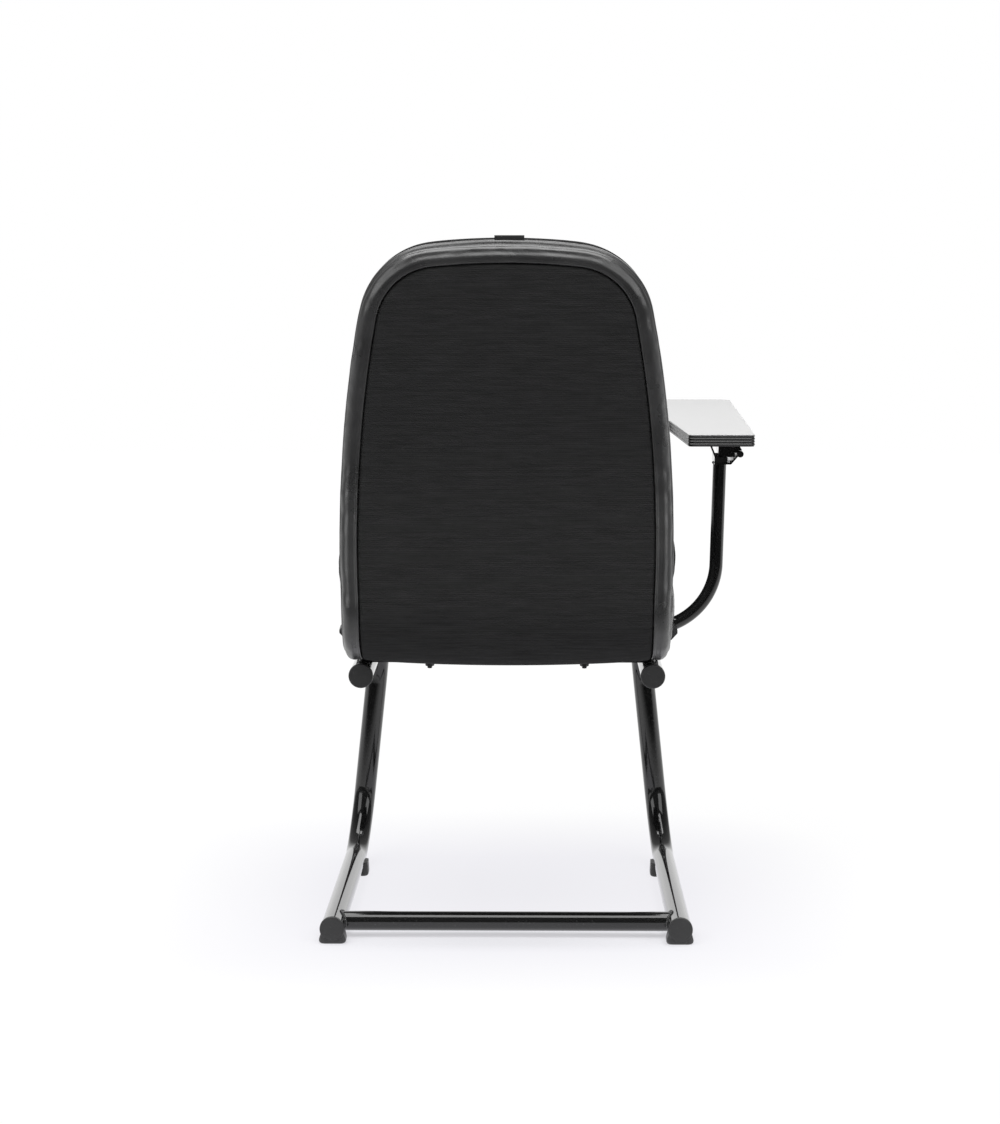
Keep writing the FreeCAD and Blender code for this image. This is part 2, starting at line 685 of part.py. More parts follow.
def seat_base_panel():
    layer = layer_between(layer_profile(0), layer_profile(PANEL_THICKNESS))
    panel = layer.common(half_of_shell(-1, LAYER_GAP)).common(seat_prism(BAND_WIDTH + SEAM_GAP))
    return panel.cut(on_seat(stud_holes(STUD_DIAMETER / 2 + HOLE_CLEARANCE)))


def edge_band(prism, half, wall, outside):
    """A border that covers the shell's rim and the board's edge, rounded on its outer side."""
    rim = layer_between(layer_profile(0), layer_profile(BOARD_FRONT)).common(half).common(prism(0))
    rim = rim.makeFillet(BAND_ROUND, edges_between(rim, wall, outside))
    panel_space = layer_between(layer_profile(-BAND_ROUND), layer_profile(BOARD_BACK))
    board_space = layer_between(layer_profile(PANEL_THICKNESS), layer_profile(CUSHION_BACK))
    rim = rim.cut(panel_space.common(prism(BAND_WIDTH)))
    return rim.cut(board_space.common(prism(BOARD_INSET - LAYER_GAP)))


def back_edge_band():
    def prism(inset):
        return back_prism(BACK_TOP_Z - BAND_BELOW_TOP, inset)

    return edge_band(prism, half_of_shell(1, LAYER_GAP), back_wall, facing_rear)


def seat_edge_band():
    return edge_band(seat_prism, half_of_shell(-1, LAYER_GAP), seat_wall, facing_down)


def label_tag():
    """A bare woven tag that stands on the band's top edge, against the cushion's rear face."""
    low_z = BACK_TOP_Z - BAND_BELOW_TOP
    tag = layer_between(layer_profile(BOARD_FRONT - TAG_THICKNESS), layer_profile(BOARD_FRONT))
    space = block((TAG_OFFSET - TAG_WIDTH / 2, -CUT_REACH, low_z),
                  (TAG_OFFSET + TAG_WIDTH / 2, CUT_REACH, low_z + TAG_HEIGHT))
    return tag.common(space)


# Tablet arm

ARM_REACH = CARRIER_REACH + CARRIER_WIDTH / 2 + ARM_FOOT_THICKNESS + ARM_OD / 2 - ARM_BITE


def seat_point(x, reach, height):
    pitch = math.radians(SEAT_PITCH)
    y = STRAP_Y - reach * math.cos(pitch) + height * math.sin(pitch)
    return Vector(x, y, UNDERSIDE_Z + reach * math.sin(pitch) + height * math.cos(pitch))


ARM_LOW = seat_point(ARM_END_FROM_CARRIER_END - CARRIER_HALF_LENGTH, ARM_REACH, -ARM_BELOW_SEAT)
HINGE_PLACE = Vector(ARM_TOP_X - PIN_OUTSIDE_ARM, ARM_LOW.y, PIN_Z)


def arm_rod(radius):
    """The arm's bend and post; its lower end is sawn off square inside the bend."""
    top_z = HINGE_PLACE.z + LEAF_ABOVE_PIN
    top = Vector(ARM_TOP_X, ARM_LOW.y, top_z)
    corner = Vector(ARM_TOP_X + (top_z - ARM_LOW.z) * tangent(ARM_LEAN), ARM_LOW.y, ARM_LOW.z)
    start = Vector(0, ARM_LOW.y, ARM_LOW.z)
    whole = bent_rod([start, corner, top], [0, ARM_BEND_RADIUS, 0], radius)
    return whole.cut(block((ARM_LOW.x, -CUT_REACH, 0), (CUT_REACH, CUT_REACH, CUT_REACH)))


def arm_tube():
    head = block((BRACKET_NEAR - CUT_REACH, -CUT_REACH, -BRACKET_FLOOR_BELOW_PIN),
                 (CUT_REACH, CUT_REACH, CUT_REACH))
    tube = arm_rod(ARM_OD / 2).cut(arm_rod(ARM_OD / 2 - ARM_WALL))
    return tube.cut(on_hinge(head))


def arm_foot_plate():
    """A plate bolted to the carrier's front face, which the arm tube is welded to."""
    near_y = -CARRIER_REACH - CARRIER_WIDTH / 2
    outer_x = ARM_FOOT_INSIDE_PLUG - PLUG_DOME_LENGTH - CARRIER_HALF_LENGTH
    plate = block((outer_x, near_y - ARM_FOOT_THICKNESS, -gap_below_seat(CARRIER_REACH)),
                  (outer_x + ARM_FOOT_LENGTH, near_y, 0))
    plate = on_seat(plate.cut(arm_bolt_holes()))
    return plate.cut(arm_rod(ARM_OD / 2))


def arm_bolts():
    bolts = []
    span = CARRIER_WIDTH + ARM_FOOT_THICKNESS + NUT_HEIGHT + STUD_PAST_NUT
    for place in arm_bolt_places():
        head_start = place + BACKWARD * CARRIER_WIDTH / 2
        head = hex_prism(NUT_ACROSS_FLATS, BOLT_HEAD_HEIGHT, head_start, BACKWARD)
        bolts.append(head.fuse(rod(STUD_DIAMETER / 2, head_start, -BACKWARD, span)))
    return on_seat(Part.makeCompound(bolts))


def arm_nuts():
    nuts = []
    for place in arm_bolt_places():
        start = place - BACKWARD * (CARRIER_WIDTH / 2 + ARM_FOOT_THICKNESS)
        nut = hex_prism(NUT_ACROSS_FLATS, NUT_HEIGHT, start, -BACKWARD)
        nuts.append(nut.cut(rod(STUD_DIAMETER / 2, start, -BACKWARD, NUT_HEIGHT)))
    return on_seat(Part.makeCompound(nuts))


# Hinge and tablet, drawn level about the pin's middle

def on_hinge(shape):
    shape = shape.copy()
    shape.rotate(CENTRE, RIGHT, -TABLET_PITCH)
    shape.translate(HINGE_PLACE)
    return shape


def section_prism(points, low_y, high_y):
    """A prism along the hinge from its section's corners."""
    corners = [Vector(x, low_y, z) for x, z in points]
    return Part.Face(Part.makePolygon(corners + corners[:1])).extrude(BACKWARD * (high_y - low_y))


def barrel(low_y, high_y, radius):
    return rod(radius, Vector(0, low_y, 0), BACKWARD, high_y - low_y)


def hinge_bracket():
    """A folded sheet on the arm's top: a knuckle outside, a floor, and a wing that props the tablet."""
    sheet = HINGE_SHEET
    far = BRACKET_NEAR + BRACKET_WIDTH
    floor = -BRACKET_FLOOR_BELOW_PIN
    wing_start = -BRACKET_WING_START
    wing_top = LEAF_ABOVE_PIN - REST_CLEARANCE
    outer = [(0, 0), (BRACKET_NEAR, floor), (far, floor), (far, wing_start),
             (far + BRACKET_WING_OUT, wing_top)]
    slant = BRACKET_SLANT_WIDTH
    inner = [(slant, 0), (BRACKET_NEAR + slant - sheet * BRACKET_SLOPE, floor + sheet),
             (far - sheet, floor + sheet), (far - sheet, wing_start),
             (far + BRACKET_WING_OUT - sheet, wing_top)]
    half = HINGE_LENGTH / 2
    knuckle_gap = LEAF_KNUCKLE_LENGTH / 2 + KNUCKLE_SIDE_GAP
    body = section_prism(inner + outer[::-1], -half, half)
    clearing = barrel(-knuckle_gap, knuckle_gap, KNUCKLE_RADIUS + KNUCKLE_SIDE_GAP)
    knuckles = [barrel(-half, -knuckle_gap, KNUCKLE_RADIUS), barrel(knuckle_gap, half, KNUCKLE_RADIUS)]
    bracket = joined([body.cut(clearing)] + knuckles)
    return on_hinge(bracket.cut(barrel(-half, half, PIN_RADIUS)))


def hinge_pin():
    half = HINGE_LENGTH / 2
    pin = barrel(-half, half, PIN_RADIUS)
    heads = [barrel(half, half + PIN_HEAD_THICKNESS, PIN_HEAD_RADIUS),
             barrel(-half - PIN_HEAD_THICKNESS, -half, PIN_HEAD_RADIUS)]
    return on_hinge(joined([pin] + heads))


def hinge_rest_block():
    """A rubber block on the bracket's floor, which the leaf sits on when the tablet is down."""
    low_x = BRACKET_NEAR + HINGE_SHEET + REST_BLOCK_INSET
    high_x = BRACKET_NEAR + BRACKET_WIDTH - HINGE_SHEET
    half = REST_BLOCK_LENGTH / 2
    low_z = HINGE_SHEET - BRACKET_FLOOR_BELOW_PIN
    return on_hinge(block((low_x, -half, low_z), (high_x, half, -LEAF_BELOW_PIN - REST_CLEARANCE)))


def screw_places():
    first = -SCREW_PITCH * (SCREW_COUNT - 1) / 2
    return [Vector(LEAF_NEAR + LEAF_WIDTH / 2, first + SCREW_PITCH * index, LEAF_ABOVE_PIN - HINGE_SHEET)
            for index in range(SCREW_COUNT)]


def screw_shanks(radius):
    length = HINGE_SHEET + SCREW_DEPTH
    return Part.makeCompound([rod(radius, place, UP, length) for place in screw_places()])


def leaf_section(inset, top):
    """The leaf's box in section: its lower edge away from the pin is cut off at a slant."""
    near = LEAF_NEAR + inset
    far = LEAF_NEAR + LEAF_WIDTH - inset
    low = -LEAF_BELOW_PIN
    return [(near, low), (far - LEAF_CHAMFER_WIDTH, low), (far, low + LEAF_CHAMFER_HEIGHT), (far, top),
            (near, top)]


def hinge_leaf():
    """The moving leaf: a box open below, screwed to the tablet, with cheeks and a knuckle on the pin."""
    half = HINGE_LENGTH / 2
    inner_half = half - HINGE_SHEET
    shell = section_prism(leaf_section(0, LEAF_ABOVE_PIN), -half, half)
    hollow = section_prism(leaf_section(HINGE_SHEET, LEAF_ABOVE_PIN - HINGE_SHEET), -inner_half, inner_half)
    cheek_low = KNUCKLE_RADIUS + KNUCKLE_SIDE_GAP
    cheek = [(LEAF_NEAR, cheek_low), (-LEAF_CHEEK_PAST_PIN, cheek_low),
             (LEAF_CHEEK_TOP_INSIDE_PIN, LEAF_ABOVE_PIN), (LEAF_NEAR, LEAF_ABOVE_PIN)]
    cheeks = [section_prism(cheek, low_y, low_y + HINGE_SHEET) for low_y in (-half, inner_half)]
    half_knuckle = LEAF_KNUCKLE_LENGTH / 2
    web = block((0, -half_knuckle, 0), (LEAF_NEAR + HINGE_SHEET, half_knuckle, KNUCKLE_RADIUS))
    knuckle = barrel(-half_knuckle, half_knuckle, KNUCKLE_RADIUS)
    leaf = joined([shell.cut(hollow), web, knuckle] + cheeks)
    bore = barrel(-half_knuckle, half_knuckle, PIN_RADIUS + PIN_RUNNING_CLEARANCE)
    return on_hinge(leaf.cut(bore).cut(screw_shanks(SCREW_RADIUS)))


def tablet_screws():
    heads = []
    for place in screw_places():
        head = rod(SCREW_HEAD_RADIUS, place, -UP, SCREW_HEAD_HEIGHT)
        shank = rod(SCREW_RADIUS, place, UP, HINGE_SHEET + SCREW_DEPTH)
        heads.append(head.fuse(shank))
    return on_hinge(Part.makeCompound(heads))


def tablet_outline():
    outer_x = -TABLET_OUTSIDE_PIN
    stem_x = outer_x + TABLET_STEM_WIDTH
    inner_x = outer_x + TABLET_WIDTH
    rear_y = TABLET_BEHIND_PIN
    hollow_y = rear_y - TABLET_HOLLOW_DEPTH
    front_y = rear_y - TABLET_LENGTH
    corners = [(outer_x, rear_y, TABLET_REAR_RADIUS), (outer_x + TABLET_FRONT_TAPER, front_y,
               TABLET_FRONT_OUTER_RADIUS), (inner_x, front_y, TABLET_FRONT_INNER_RADIUS),
               (inner_x, hollow_y, TABLET_INNER_RADIUS),
               (stem_x + TABLET_STEM_SLANT, hollow_y, TABLET_HOLLOW_RADIUS),
               (stem_x, rear_y, TABLET_REAR_RADIUS)]
    points = [Vector(x, y, LEAF_ABOVE_PIN) for x, y, radius in corners]
    radii = [radius for x, y, radius in corners]
    return Part.Wire(rounded_edges(points, radii, closed=True))


EDGING_HEIGHT = TABLET_THICKNESS - LAMINATE_THICKNESS


def tablet_slab(outline, height):
    return Part.Face(outline).extrude(UP * height)


def tablet_board():
    """The board inside its edging, with a laminate on top that reaches over the edging."""
    outline = tablet_outline()
    core = tablet_slab(outline.makeOffset2D(-EDGING_THICKNESS), EDGING_HEIGHT)
    laminate = tablet_slab(outline, LAMINATE_THICKNESS)
    laminate = laminate.makeFillet(LAMINATE_ROUND, edges_between(laminate, facing_up, seat_wall))
    laminate.translate(UP * EDGING_HEIGHT)
    return on_hinge(joined([core, laminate]).cut(screw_shanks(SCREW_RADIUS)))


def tablet_edging():
    """A plastic edging round the board, its lower outer edge eased."""
    outline = tablet_outline()
    slab = tablet_slab(outline, EDGING_HEIGHT)
    slab = slab.makeFillet(EDGING_ROUND, edges_between(slab, facing_down, seat_wall))
    return on_hinge(slab.cut(tablet_slab(outline.makeOffset2D(-EDGING_THICKNESS), EDGING_HEIGHT)))


def chair():
    outer_left = frame_rod(TUBE_RADIUS)
    frame_left = outer_left.cut(frame_rod(TUBE_RADIUS - TUBE_WALL))
    tubes = Part.makeCompound([outer_left, mirrored(outer_left)])
    pairs = {
        "side_frame": frame_left,
        "rear_foot": rear_foot(outer_left),
        "front_glide": front_glide(outer_left),
        "upper_end_cap": upper_end_cap(),
        "carrier_plug": carrier_plug(),
    }
    pieces = {
        "rear_crossbar": rear_crossbar(tubes),
        "rear_seat_strap": seat_strap(0.0, -STRAP_THICKNESS, tubes),
        "front_seat_strap": seat_strap(FRONT_STRAP_REACH, -gap_below_seat(FRONT_STRAP_REACH), tubes),
        "arm_carrier_bar": arm_carrier_bar(tubes),
        "seat_spacers": seat_spacers(),
        "seat_studs": seat_studs(),
        "seat_washers": seat_washers(),
        "seat_nuts": seat_nuts(),
        "shell_board": shell_board(),
        "back_cushion": back_cushion(),
        "seat_cushion": seat_cushion(),
        "back_panel": back_panel(),
        "seat_base_panel": seat_base_panel(),
        "back_edge_band": back_edge_band(),
        "seat_edge_band": seat_edge_band(),
        "label_tag": label_tag(),
        "arm_tube": arm_tube(),
        "arm_foot_plate": arm_foot_plate(),
        "arm_bolts": arm_bolts(),
        "arm_nuts": arm_nuts(),
        "hinge_bracket": hinge_bracket(),
        "hinge_rest_block": hinge_rest_block(),
        "hinge_pin": hinge_pin(),
        "hinge_leaf": hinge_leaf(),
        "tablet_board": tablet_board(),
        "tablet_edging": tablet_edging(),
        "tablet_screws": tablet_screws(),
    }
    for name, shape in pairs.items():
        pieces[name + "_left"] = shape
        pieces[name + "_right"] = mirrored(shape)
    return pieces


def main():
    os.makedirs("parts", exist_ok=True)
    for node, shape in chair().items():
        shape.exportStep("parts/" + node + ".step")
        solids = shape.Solids
        volume = sum(solid.Volume for solid in solids)
        print(f"{node}: {len(solids)} solid(s), {volume:.0f} mm3, valid {shape.isValid()}")


main()
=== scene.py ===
"""The student chair as photographed: upholstery, finishes, camera and studio on the shared frame."""

import json
import math

import bmesh
import bpy
import numpy as np
from mathutils import Matrix, Vector, kdtree, noise


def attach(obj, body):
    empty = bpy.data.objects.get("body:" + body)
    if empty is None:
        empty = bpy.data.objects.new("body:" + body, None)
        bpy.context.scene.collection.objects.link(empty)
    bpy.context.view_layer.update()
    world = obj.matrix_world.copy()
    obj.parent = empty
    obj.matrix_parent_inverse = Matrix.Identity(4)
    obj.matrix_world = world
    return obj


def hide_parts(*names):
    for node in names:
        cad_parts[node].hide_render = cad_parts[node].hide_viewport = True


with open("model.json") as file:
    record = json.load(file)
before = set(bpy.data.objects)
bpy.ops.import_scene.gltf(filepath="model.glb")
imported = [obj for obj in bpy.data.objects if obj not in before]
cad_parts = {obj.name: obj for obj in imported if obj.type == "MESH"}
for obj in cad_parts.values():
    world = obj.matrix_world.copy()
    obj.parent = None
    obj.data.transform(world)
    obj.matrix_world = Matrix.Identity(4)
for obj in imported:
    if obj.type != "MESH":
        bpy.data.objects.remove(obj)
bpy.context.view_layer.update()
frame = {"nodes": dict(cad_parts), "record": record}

MM = 0.001

# Side view of the shell, metres and degrees, as in the solids
LUMBAR = np.array([0.189, 0.600])
SEAT_MARK = np.array([0.104, 0.3568])
BACK_RECLINE = 13.0
PELVIS_LEAN = 6.8
SEAT_PITCH = 6.5
LUMBAR_RADIUS = 0.350
BELLY_RADIUS = 0.075
BACK_FRONT_DEPTH = 0.0606
SEAT_FRONT_DEPTH = 0.0826
CUSHION_BACK_DEPTH = 0.0206
PANEL_DEPTH = 0.0088

# Outlines of the back and the seat: crown, crown radius, corner radius, side radius, half width, widest
BACK_BAND_OUTLINE = (0.884, 0.900, 0.102, 1.466, 0.211, 0.515)
BACK_PAD_OUTLINE = (0.892, 0.750, 0.102, 1.466, 0.211, 0.515)
SEAT_OUTLINE = (0.303, 1.100, 0.080, 2.400, 0.231, 0.206)

PANEL_INSET = 0.02355
PIPING_RADIUS = 0.0036
PIPING_INSET = 0.0038

# Camera fitted to the photograph
CAMERA_PLACE = (-0.041, 4.022, 0.914)
CAMERA_PITCH = 6.38
CAMERA_YAW = 0.733
CAMERA_LENS = 98.0
CAMERA_SENSOR = 36.0

# Steps along curves
OUTLINE_STEP = 0.004
BORDER_STEP = 0.005
SHELL_STEP = 0.002


# Plane curves

def unit(vector):
    return vector / np.linalg.norm(vector)


def ramp(value, start, end):
    """The share of the way from start to end, from 0 to 1."""
    return np.clip((value - start) / (end - start), 0, 1)


def rounded_path(corners, step, closed=False):
    """Points along straight runs that are joined by arcs; each corner is x, y and radius."""
    points = [np.array(corner[:2], float) for corner in corners]
    last = len(points) - 1
    rows = []
    for i, here in enumerate(points):
        radius = corners[i][2]
        if radius == 0 or (not closed and i in (0, last)):
            rows.append(here)
            continue
        before = unit(points[i - 1] - here)
        after = unit(points[(i + 1) % len(points)] - here)
        half = math.acos(np.clip(before @ after, -1, 1)) / 2
        centre = here + unit(before + after) * radius / math.sin(half)
        start = here + before * radius / math.tan(half) - centre
        end = here + after * radius / math.tan(half) - centre
        first = math.atan2(start[1], start[0])
        turn = (math.atan2(end[1], end[0]) - first + math.pi) % math.tau - math.pi
        count = max(3, math.ceil(abs(turn) * radius / step) + 1)
        for angle in first + turn * np.linspace(0, 1, count):
            rows.append(centre + radius * np.array([math.cos(angle), math.sin(angle)]))
    return np.array(rows)


def resampled(path, step, closed=False):
    """The same curve with even steps."""
    if closed:
        path = np.vstack([path, path[:1]])
    lengths = np.concatenate([[0], np.cumsum(np.linalg.norm(np.diff(path, axis=0), axis=1))])
    count = max(2, round(lengths[-1] / step))
    places = np.linspace(0, lengths[-1], count + 1)
    if closed:
        places = places[:-1]
    return np.column_stack([np.interp(places, lengths, path[:, i]) for i in range(path.shape[1])])


def directions(path, closed=False):
    """Unit tangents of a path."""
    if closed:
        ahead = np.roll(path, -1, axis=0) - np.roll(path, 1, axis=0)
    else:
        ahead = np.gradient(path, axis=0)
    return ahead / np.linalg.norm(ahead, axis=1)[:, None]


def right_of(path, closed=False):
    """Unit normals to the right of a path's heading, with its first axis to the right and its second up."""
    ahead = directions(path, closed)
    return np.column_stack([ahead[:, 1], -ahead[:, 0]])


def crowned_outline(crown, crown_radius, corner_radius, side_radius, half_width, widest, base):
    """Half an outline of three tangent arcs, from the middle of its crown down its side: x and height."""
    crown_centre = np.array([0, crown - crown_radius])
    side_centre = np.array([half_width - side_radius, widest])
    apart = side_centre - crown_centre
    reach = np.linalg.norm(apart)
    ahead = apart / reach
    from_first = crown_radius - corner_radius
    from_second = side_radius - corner_radius
    along = (from_first ** 2 - from_second ** 2 + reach ** 2) / (2 * reach)
    aside = math.sqrt(from_first ** 2 - along ** 2)
    corner_centre = crown_centre + ahead * along + np.array([ahead[1], -ahead[0]]) * aside
    from_crown = corner_centre - crown_centre
    from_side = corner_centre - side_centre
    high = math.atan2(from_crown[1], from_crown[0])
    low = math.atan2(from_side[1], from_side[0])
    bottom = math.asin((base - widest) / side_radius)
    rows = []
    for centre, radius, start, end in ((crown_centre, crown_radius, math.pi / 2, high),
                                       (corner_centre, corner_radius, high, low),
                                       (side_centre, side_radius, low, bottom)):
        count = max(3, math.ceil(abs(end - start) * radius / OUTLINE_STEP))
        for angle in np.linspace(start, end, count)[:-1]:
            rows.append(centre + radius * np.array([math.cos(angle), math.sin(angle)]))
    rows.append(side_centre + side_radius * np.array([math.cos(bottom), math.sin(bottom)]))
    return np.array(rows)


# The shell, unrolled

RECLINE, LEAN, PITCH = (math.radians(angle) for angle in (BACK_RECLINE, PELVIS_LEAN, SEAT_PITCH))
BACK_WAY = np.array([math.sin(RECLINE), math.cos(RECLINE)])
PELVIS_WAY = np.array([-math.sin(LEAN), math.cos(LEAN)])
SEAT_WAY = np.array([-math.cos(PITCH), math.sin(PITCH)])
BACK_REACH = 0.5
SEAT_REACH = 0.6
COVER_PAST_BELLY = 0.014


def crossing(first, first_way, second, second_way):
    run = np.linalg.solve(np.column_stack([first_way, -second_way]), second - first)
    return first + first_way * run[0]


BELLY_CORNER = crossing(LUMBAR, PELVIS_WAY, SEAT_MARK, SEAT_WAY)
BELLY_TURN = math.acos(np.clip(-PELVIS_WAY @ SEAT_WAY, -1, 1))
BELLY_RUN = BELLY_RADIUS * math.tan(BELLY_TURN / 2)

side_corners = [(*(LUMBAR + BACK_WAY * BACK_REACH), 0), (*LUMBAR, LUMBAR_RADIUS),
                (*BELLY_CORNER, BELLY_RADIUS), (*(SEAT_MARK + SEAT_WAY * SEAT_REACH), 0)]
side_path = resampled(rounded_path(side_corners, SHELL_STEP), SHELL_STEP)
side_way = directions(side_path)
side_inward = right_of(side_path)
side_run = np.arange(len(side_path)) * np.linalg.norm(side_path[1] - side_path[0])
lowest = int(np.argmin(side_path[:, 1]))


def run_at_height(z):
    return np.interp(-np.asarray(z), -side_path[:lowest, 1], side_run[:lowest])


def run_at_reach(y):
    return np.interp(-np.asarray(y), -side_path[lowest:, 0], side_run[lowest:])


BELLY_START = BELLY_CORNER + PELVIS_WAY * BELLY_RUN
BELLY_END = BELLY_CORNER + SEAT_WAY * BELLY_RUN
RUN_BELLY_START = float(run_at_height(BELLY_START[1]))
RUN_BELLY_END = float(run_at_reach(BELLY_END[0]))
COVER_END = RUN_BELLY_END + COVER_PAST_BELLY
NEARLY_UPRIGHT = 0.1


def lean_in():
    """The way in from the shell's face: level in the back and upright in the seat, as its solids are cut."""
    level = -side_inward[:, 1] / side_way[:, 1]
    upright = -side_inward[:, 0] / np.where(abs(side_way[:, 0]) < NEARLY_UPRIGHT, -1, side_way[:, 0])
    share = ramp(side_run, RUN_BELLY_START, RUN_BELLY_END)
    level = np.where(share >= 1, 0, np.interp(side_run, side_run[share <= 0], level[share <= 0]))
    upright = np.where(share <= 0, 0, np.interp(side_run, side_run[share >= 1], upright[share >= 1]))
    lean = (level * (1 - share) + upright * share)[:, None]
    return side_inward + side_way * lean


side_in = lean_in()

TOP_SHIFT = 0.0020
TOP_SHIFT_SPAN = (0.820, 0.890)


def top_shift(z):
    """The slant of the upholstery's top, which isn't quite even from side to side."""
    return TOP_SHIFT * ramp(z, *TOP_SHIFT_SPAN) ** 2


def on_shell(x, run, depth):
    """Points in the chair from places on the unrolled shell: across it, down it and in from its rear."""
    y = np.interp(run, side_run, side_path[:, 0]) + np.interp(run, side_run, side_in[:, 0]) * depth
    z = np.interp(run, side_run, side_path[:, 1]) + np.interp(run, side_run, side_in[:, 1]) * depth
    return np.stack(np.broadcast_arrays(x + top_shift(z), y, z), axis=-1)


def half_loop():
    """The border's outline on the unrolled shell, from the top of the back round to the front of the seat."""
    back = crowned_outline(*BACK_BAND_OUTLINE, base=BELLY_START[1])
    seat = crowned_outline(*SEAT_OUTLINE, base=-BELLY_END[0])
    back = np.column_stack([back[:, 0], run_at_height(back[:, 1])])
    seat = np.column_stack([seat[:, 0], run_at_reach(-seat[:, 1])])[::-1]
    return resampled(np.vstack([back, seat]), BORDER_STEP)


SIDE_X = 0.1
border = half_loop()
split = int(np.argmin(abs(border[:, 1] - COVER_END) + (border[:, 0] < SIDE_X)))


def mirrored(half):
    """A half path that starts in the middle and its mirror as one, from the far end of the mirrored side."""
    return np.vstack([half[::-1] * (-1, 1), half[1:]])


# Meshes

def added(name, data):
    """A new object in the scene."""
    obj = bpy.data.objects.new(name, data)
    bpy.context.scene.collection.objects.link(obj)
    return obj


def solid(name, points, faces):
    mesh = bpy.data.meshes.new(name)
    mesh.from_pydata([tuple(p) for p in points], [], faces)
    mesh.validate()
    edit = bmesh.new()
    edit.from_mesh(mesh)
    bmesh.ops.recalc_face_normals(edit, faces=edit.faces)
    edit.to_mesh(mesh)
    edit.free()
    mesh.shade_smooth()
    return added(name, mesh)


def lofted(name, rings):
    """A skin over rings of points, with a face at each end."""
    rings = np.asarray(rings)
    count, around = rings.shape[:2]
    faces = []
    for i in range(count - 1):
        here = i * around
        there = here + around
        for j in range(around):
            k = (j + 1) % around
            faces.append((here + j, here + k, there + k, there + j))
    faces.append(tuple(range(around)))
    faces.append(tuple(range((count - 1) * around, count * around)))
    return solid(name, rings.reshape(-1, 3), faces)


def softened(obj):
    """Subdivides a piece once and keeps the plain mesh."""
    modifier = obj.modifiers.new("soften", "SUBSURF")
    modifier.levels = 1
    return plain(obj)


def plain(obj):
    """Keeps what the piece's modifiers make as its own mesh."""
    depsgraph = bpy.context.evaluated_depsgraph_get()
    mesh = bpy.data.meshes.new_from_object(obj.evaluated_get(depsgraph))
    obj.modifiers.clear()
    old = obj.data
    obj.data = mesh
    mesh.name = obj.name
    if old.users == 0:
        bpy.data.meshes.remove(old)
    return obj


def nearest_in(points):
    """A search tree over points."""
    tree = kdtree.KDTree(len(points))
    for i, point in enumerate(points):
        tree.insert(point, i)
    tree.balance()
    return tree


def flat_map(obj, places):
    """A UV map in metres from each vertex's place on the flat cloth."""
    layer = obj.data.uv_layers.new(name="cloth")
    for loop in obj.data.loops:
        layer.data[loop.index].uv = places[loop.vertex_index]


def covered(mesh, *looks):
    mesh.materials.clear()
    for look in looks:
        mesh.materials.append(look)


def finished(obj, slot, *replaced, look=None, body="chair"):
    """Gives a piece its finish, the given look or the slot's, and its body, and hides the nodes that it
    stands for.
    """
    covered(obj.data, look or LOOKS[slot])
    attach(obj, body)
    if replaced:
        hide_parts(*replaced)


# Node trees

FLOAT = "NodeSocketFloat"
VECTOR = "NodeSocketVector"
GEOMETRY = "NodeSocketGeometry"


def new_tree(kind, name, inputs, outputs):
    """A node group with named inputs and outputs, and the sockets inside it that stand for them."""
    tree = bpy.data.node_groups.new(name, kind)
    for title, socket_type, value in inputs:
        socket = tree.interface.new_socket(title, in_out="INPUT", socket_type=socket_type)
        if value is not None:
            socket.default_value = value
    for title, socket_type in outputs:
        tree.interface.new_socket(title, in_out="OUTPUT", socket_type=socket_type)
    return tree, tree.nodes.new("NodeGroupInput").outputs, tree.nodes.new("NodeGroupOutput").inputs


def new_group(name, *outputs, **values):
    inputs = [("Vector", VECTOR, None)] + [(title, FLOAT, value) for title, value in values.items()]
    return new_tree("ShaderNodeTree", name, inputs, [(title, FLOAT) for title in outputs])


def node(tree, kind, links=None, **settings):
    """Adds a node; links maps its inputs to sockets or to values."""
    made = tree.nodes.new(kind)
    for key, value in settings.items():
        setattr(made, key, value)
    for key, value in (links or {}).items():
        if isinstance(value, bpy.types.NodeSocket):
            tree.links.new(value, made.inputs[key])
        else:
            made.inputs[key].default_value = value
    return made


def result(tree, kind, links=None, **settings):
    """The first output of a new node."""
    return node(tree, kind, links, **settings).outputs[0]


def maths(tree, operation, first, second=0.0, third=0.0):
    return result(tree, "ShaderNodeMath", {0: first, 1: second, 2: third}, operation=operation)


def between(tree, value, low=0.0, high=1.0, start=0.0, end=1.0):
    """Carries a value's range from low to high over to start to end, and stops there."""
    links = {"Value": value, "From Min": low, "From Max": high, "To Min": start, "To Max": end}
    return result(tree, "ShaderNodeMapRange", links)


def clouds(tree, vector, scale, detail, roughness=0.5, output=0):
    links = {"Vector": vector, "Scale": scale, "Detail": detail, "Roughness": roughness}
    return node(tree, "ShaderNodeTexNoise", links).outputs[output]


def stretched(tree, vector, scale, rotation=(0.0, 0.0, 0.0)):
    return result(tree, "ShaderNodeMapping", {"Vector": vector, "Rotation": rotation, "Scale": scale})


def grain_group():
    """Fine grain for a surface's bump and a broad mottling for its shade."""
    tree, ins, outs = new_group("surface_grain", "Height", "Mottle", Fine=900.0, Broad=9.0)
    vector = ins["Vector"]
    fine = clouds(tree, vector, ins["Fine"], detail=3.0)
    broad = clouds(tree, vector, ins["Broad"], detail=4.0, roughness=0.6)
    tree.links.new(fine, outs["Height"])
    tree.links.new(between(tree, broad, low=0.3, high=0.7), outs["Mottle"])
    return tree


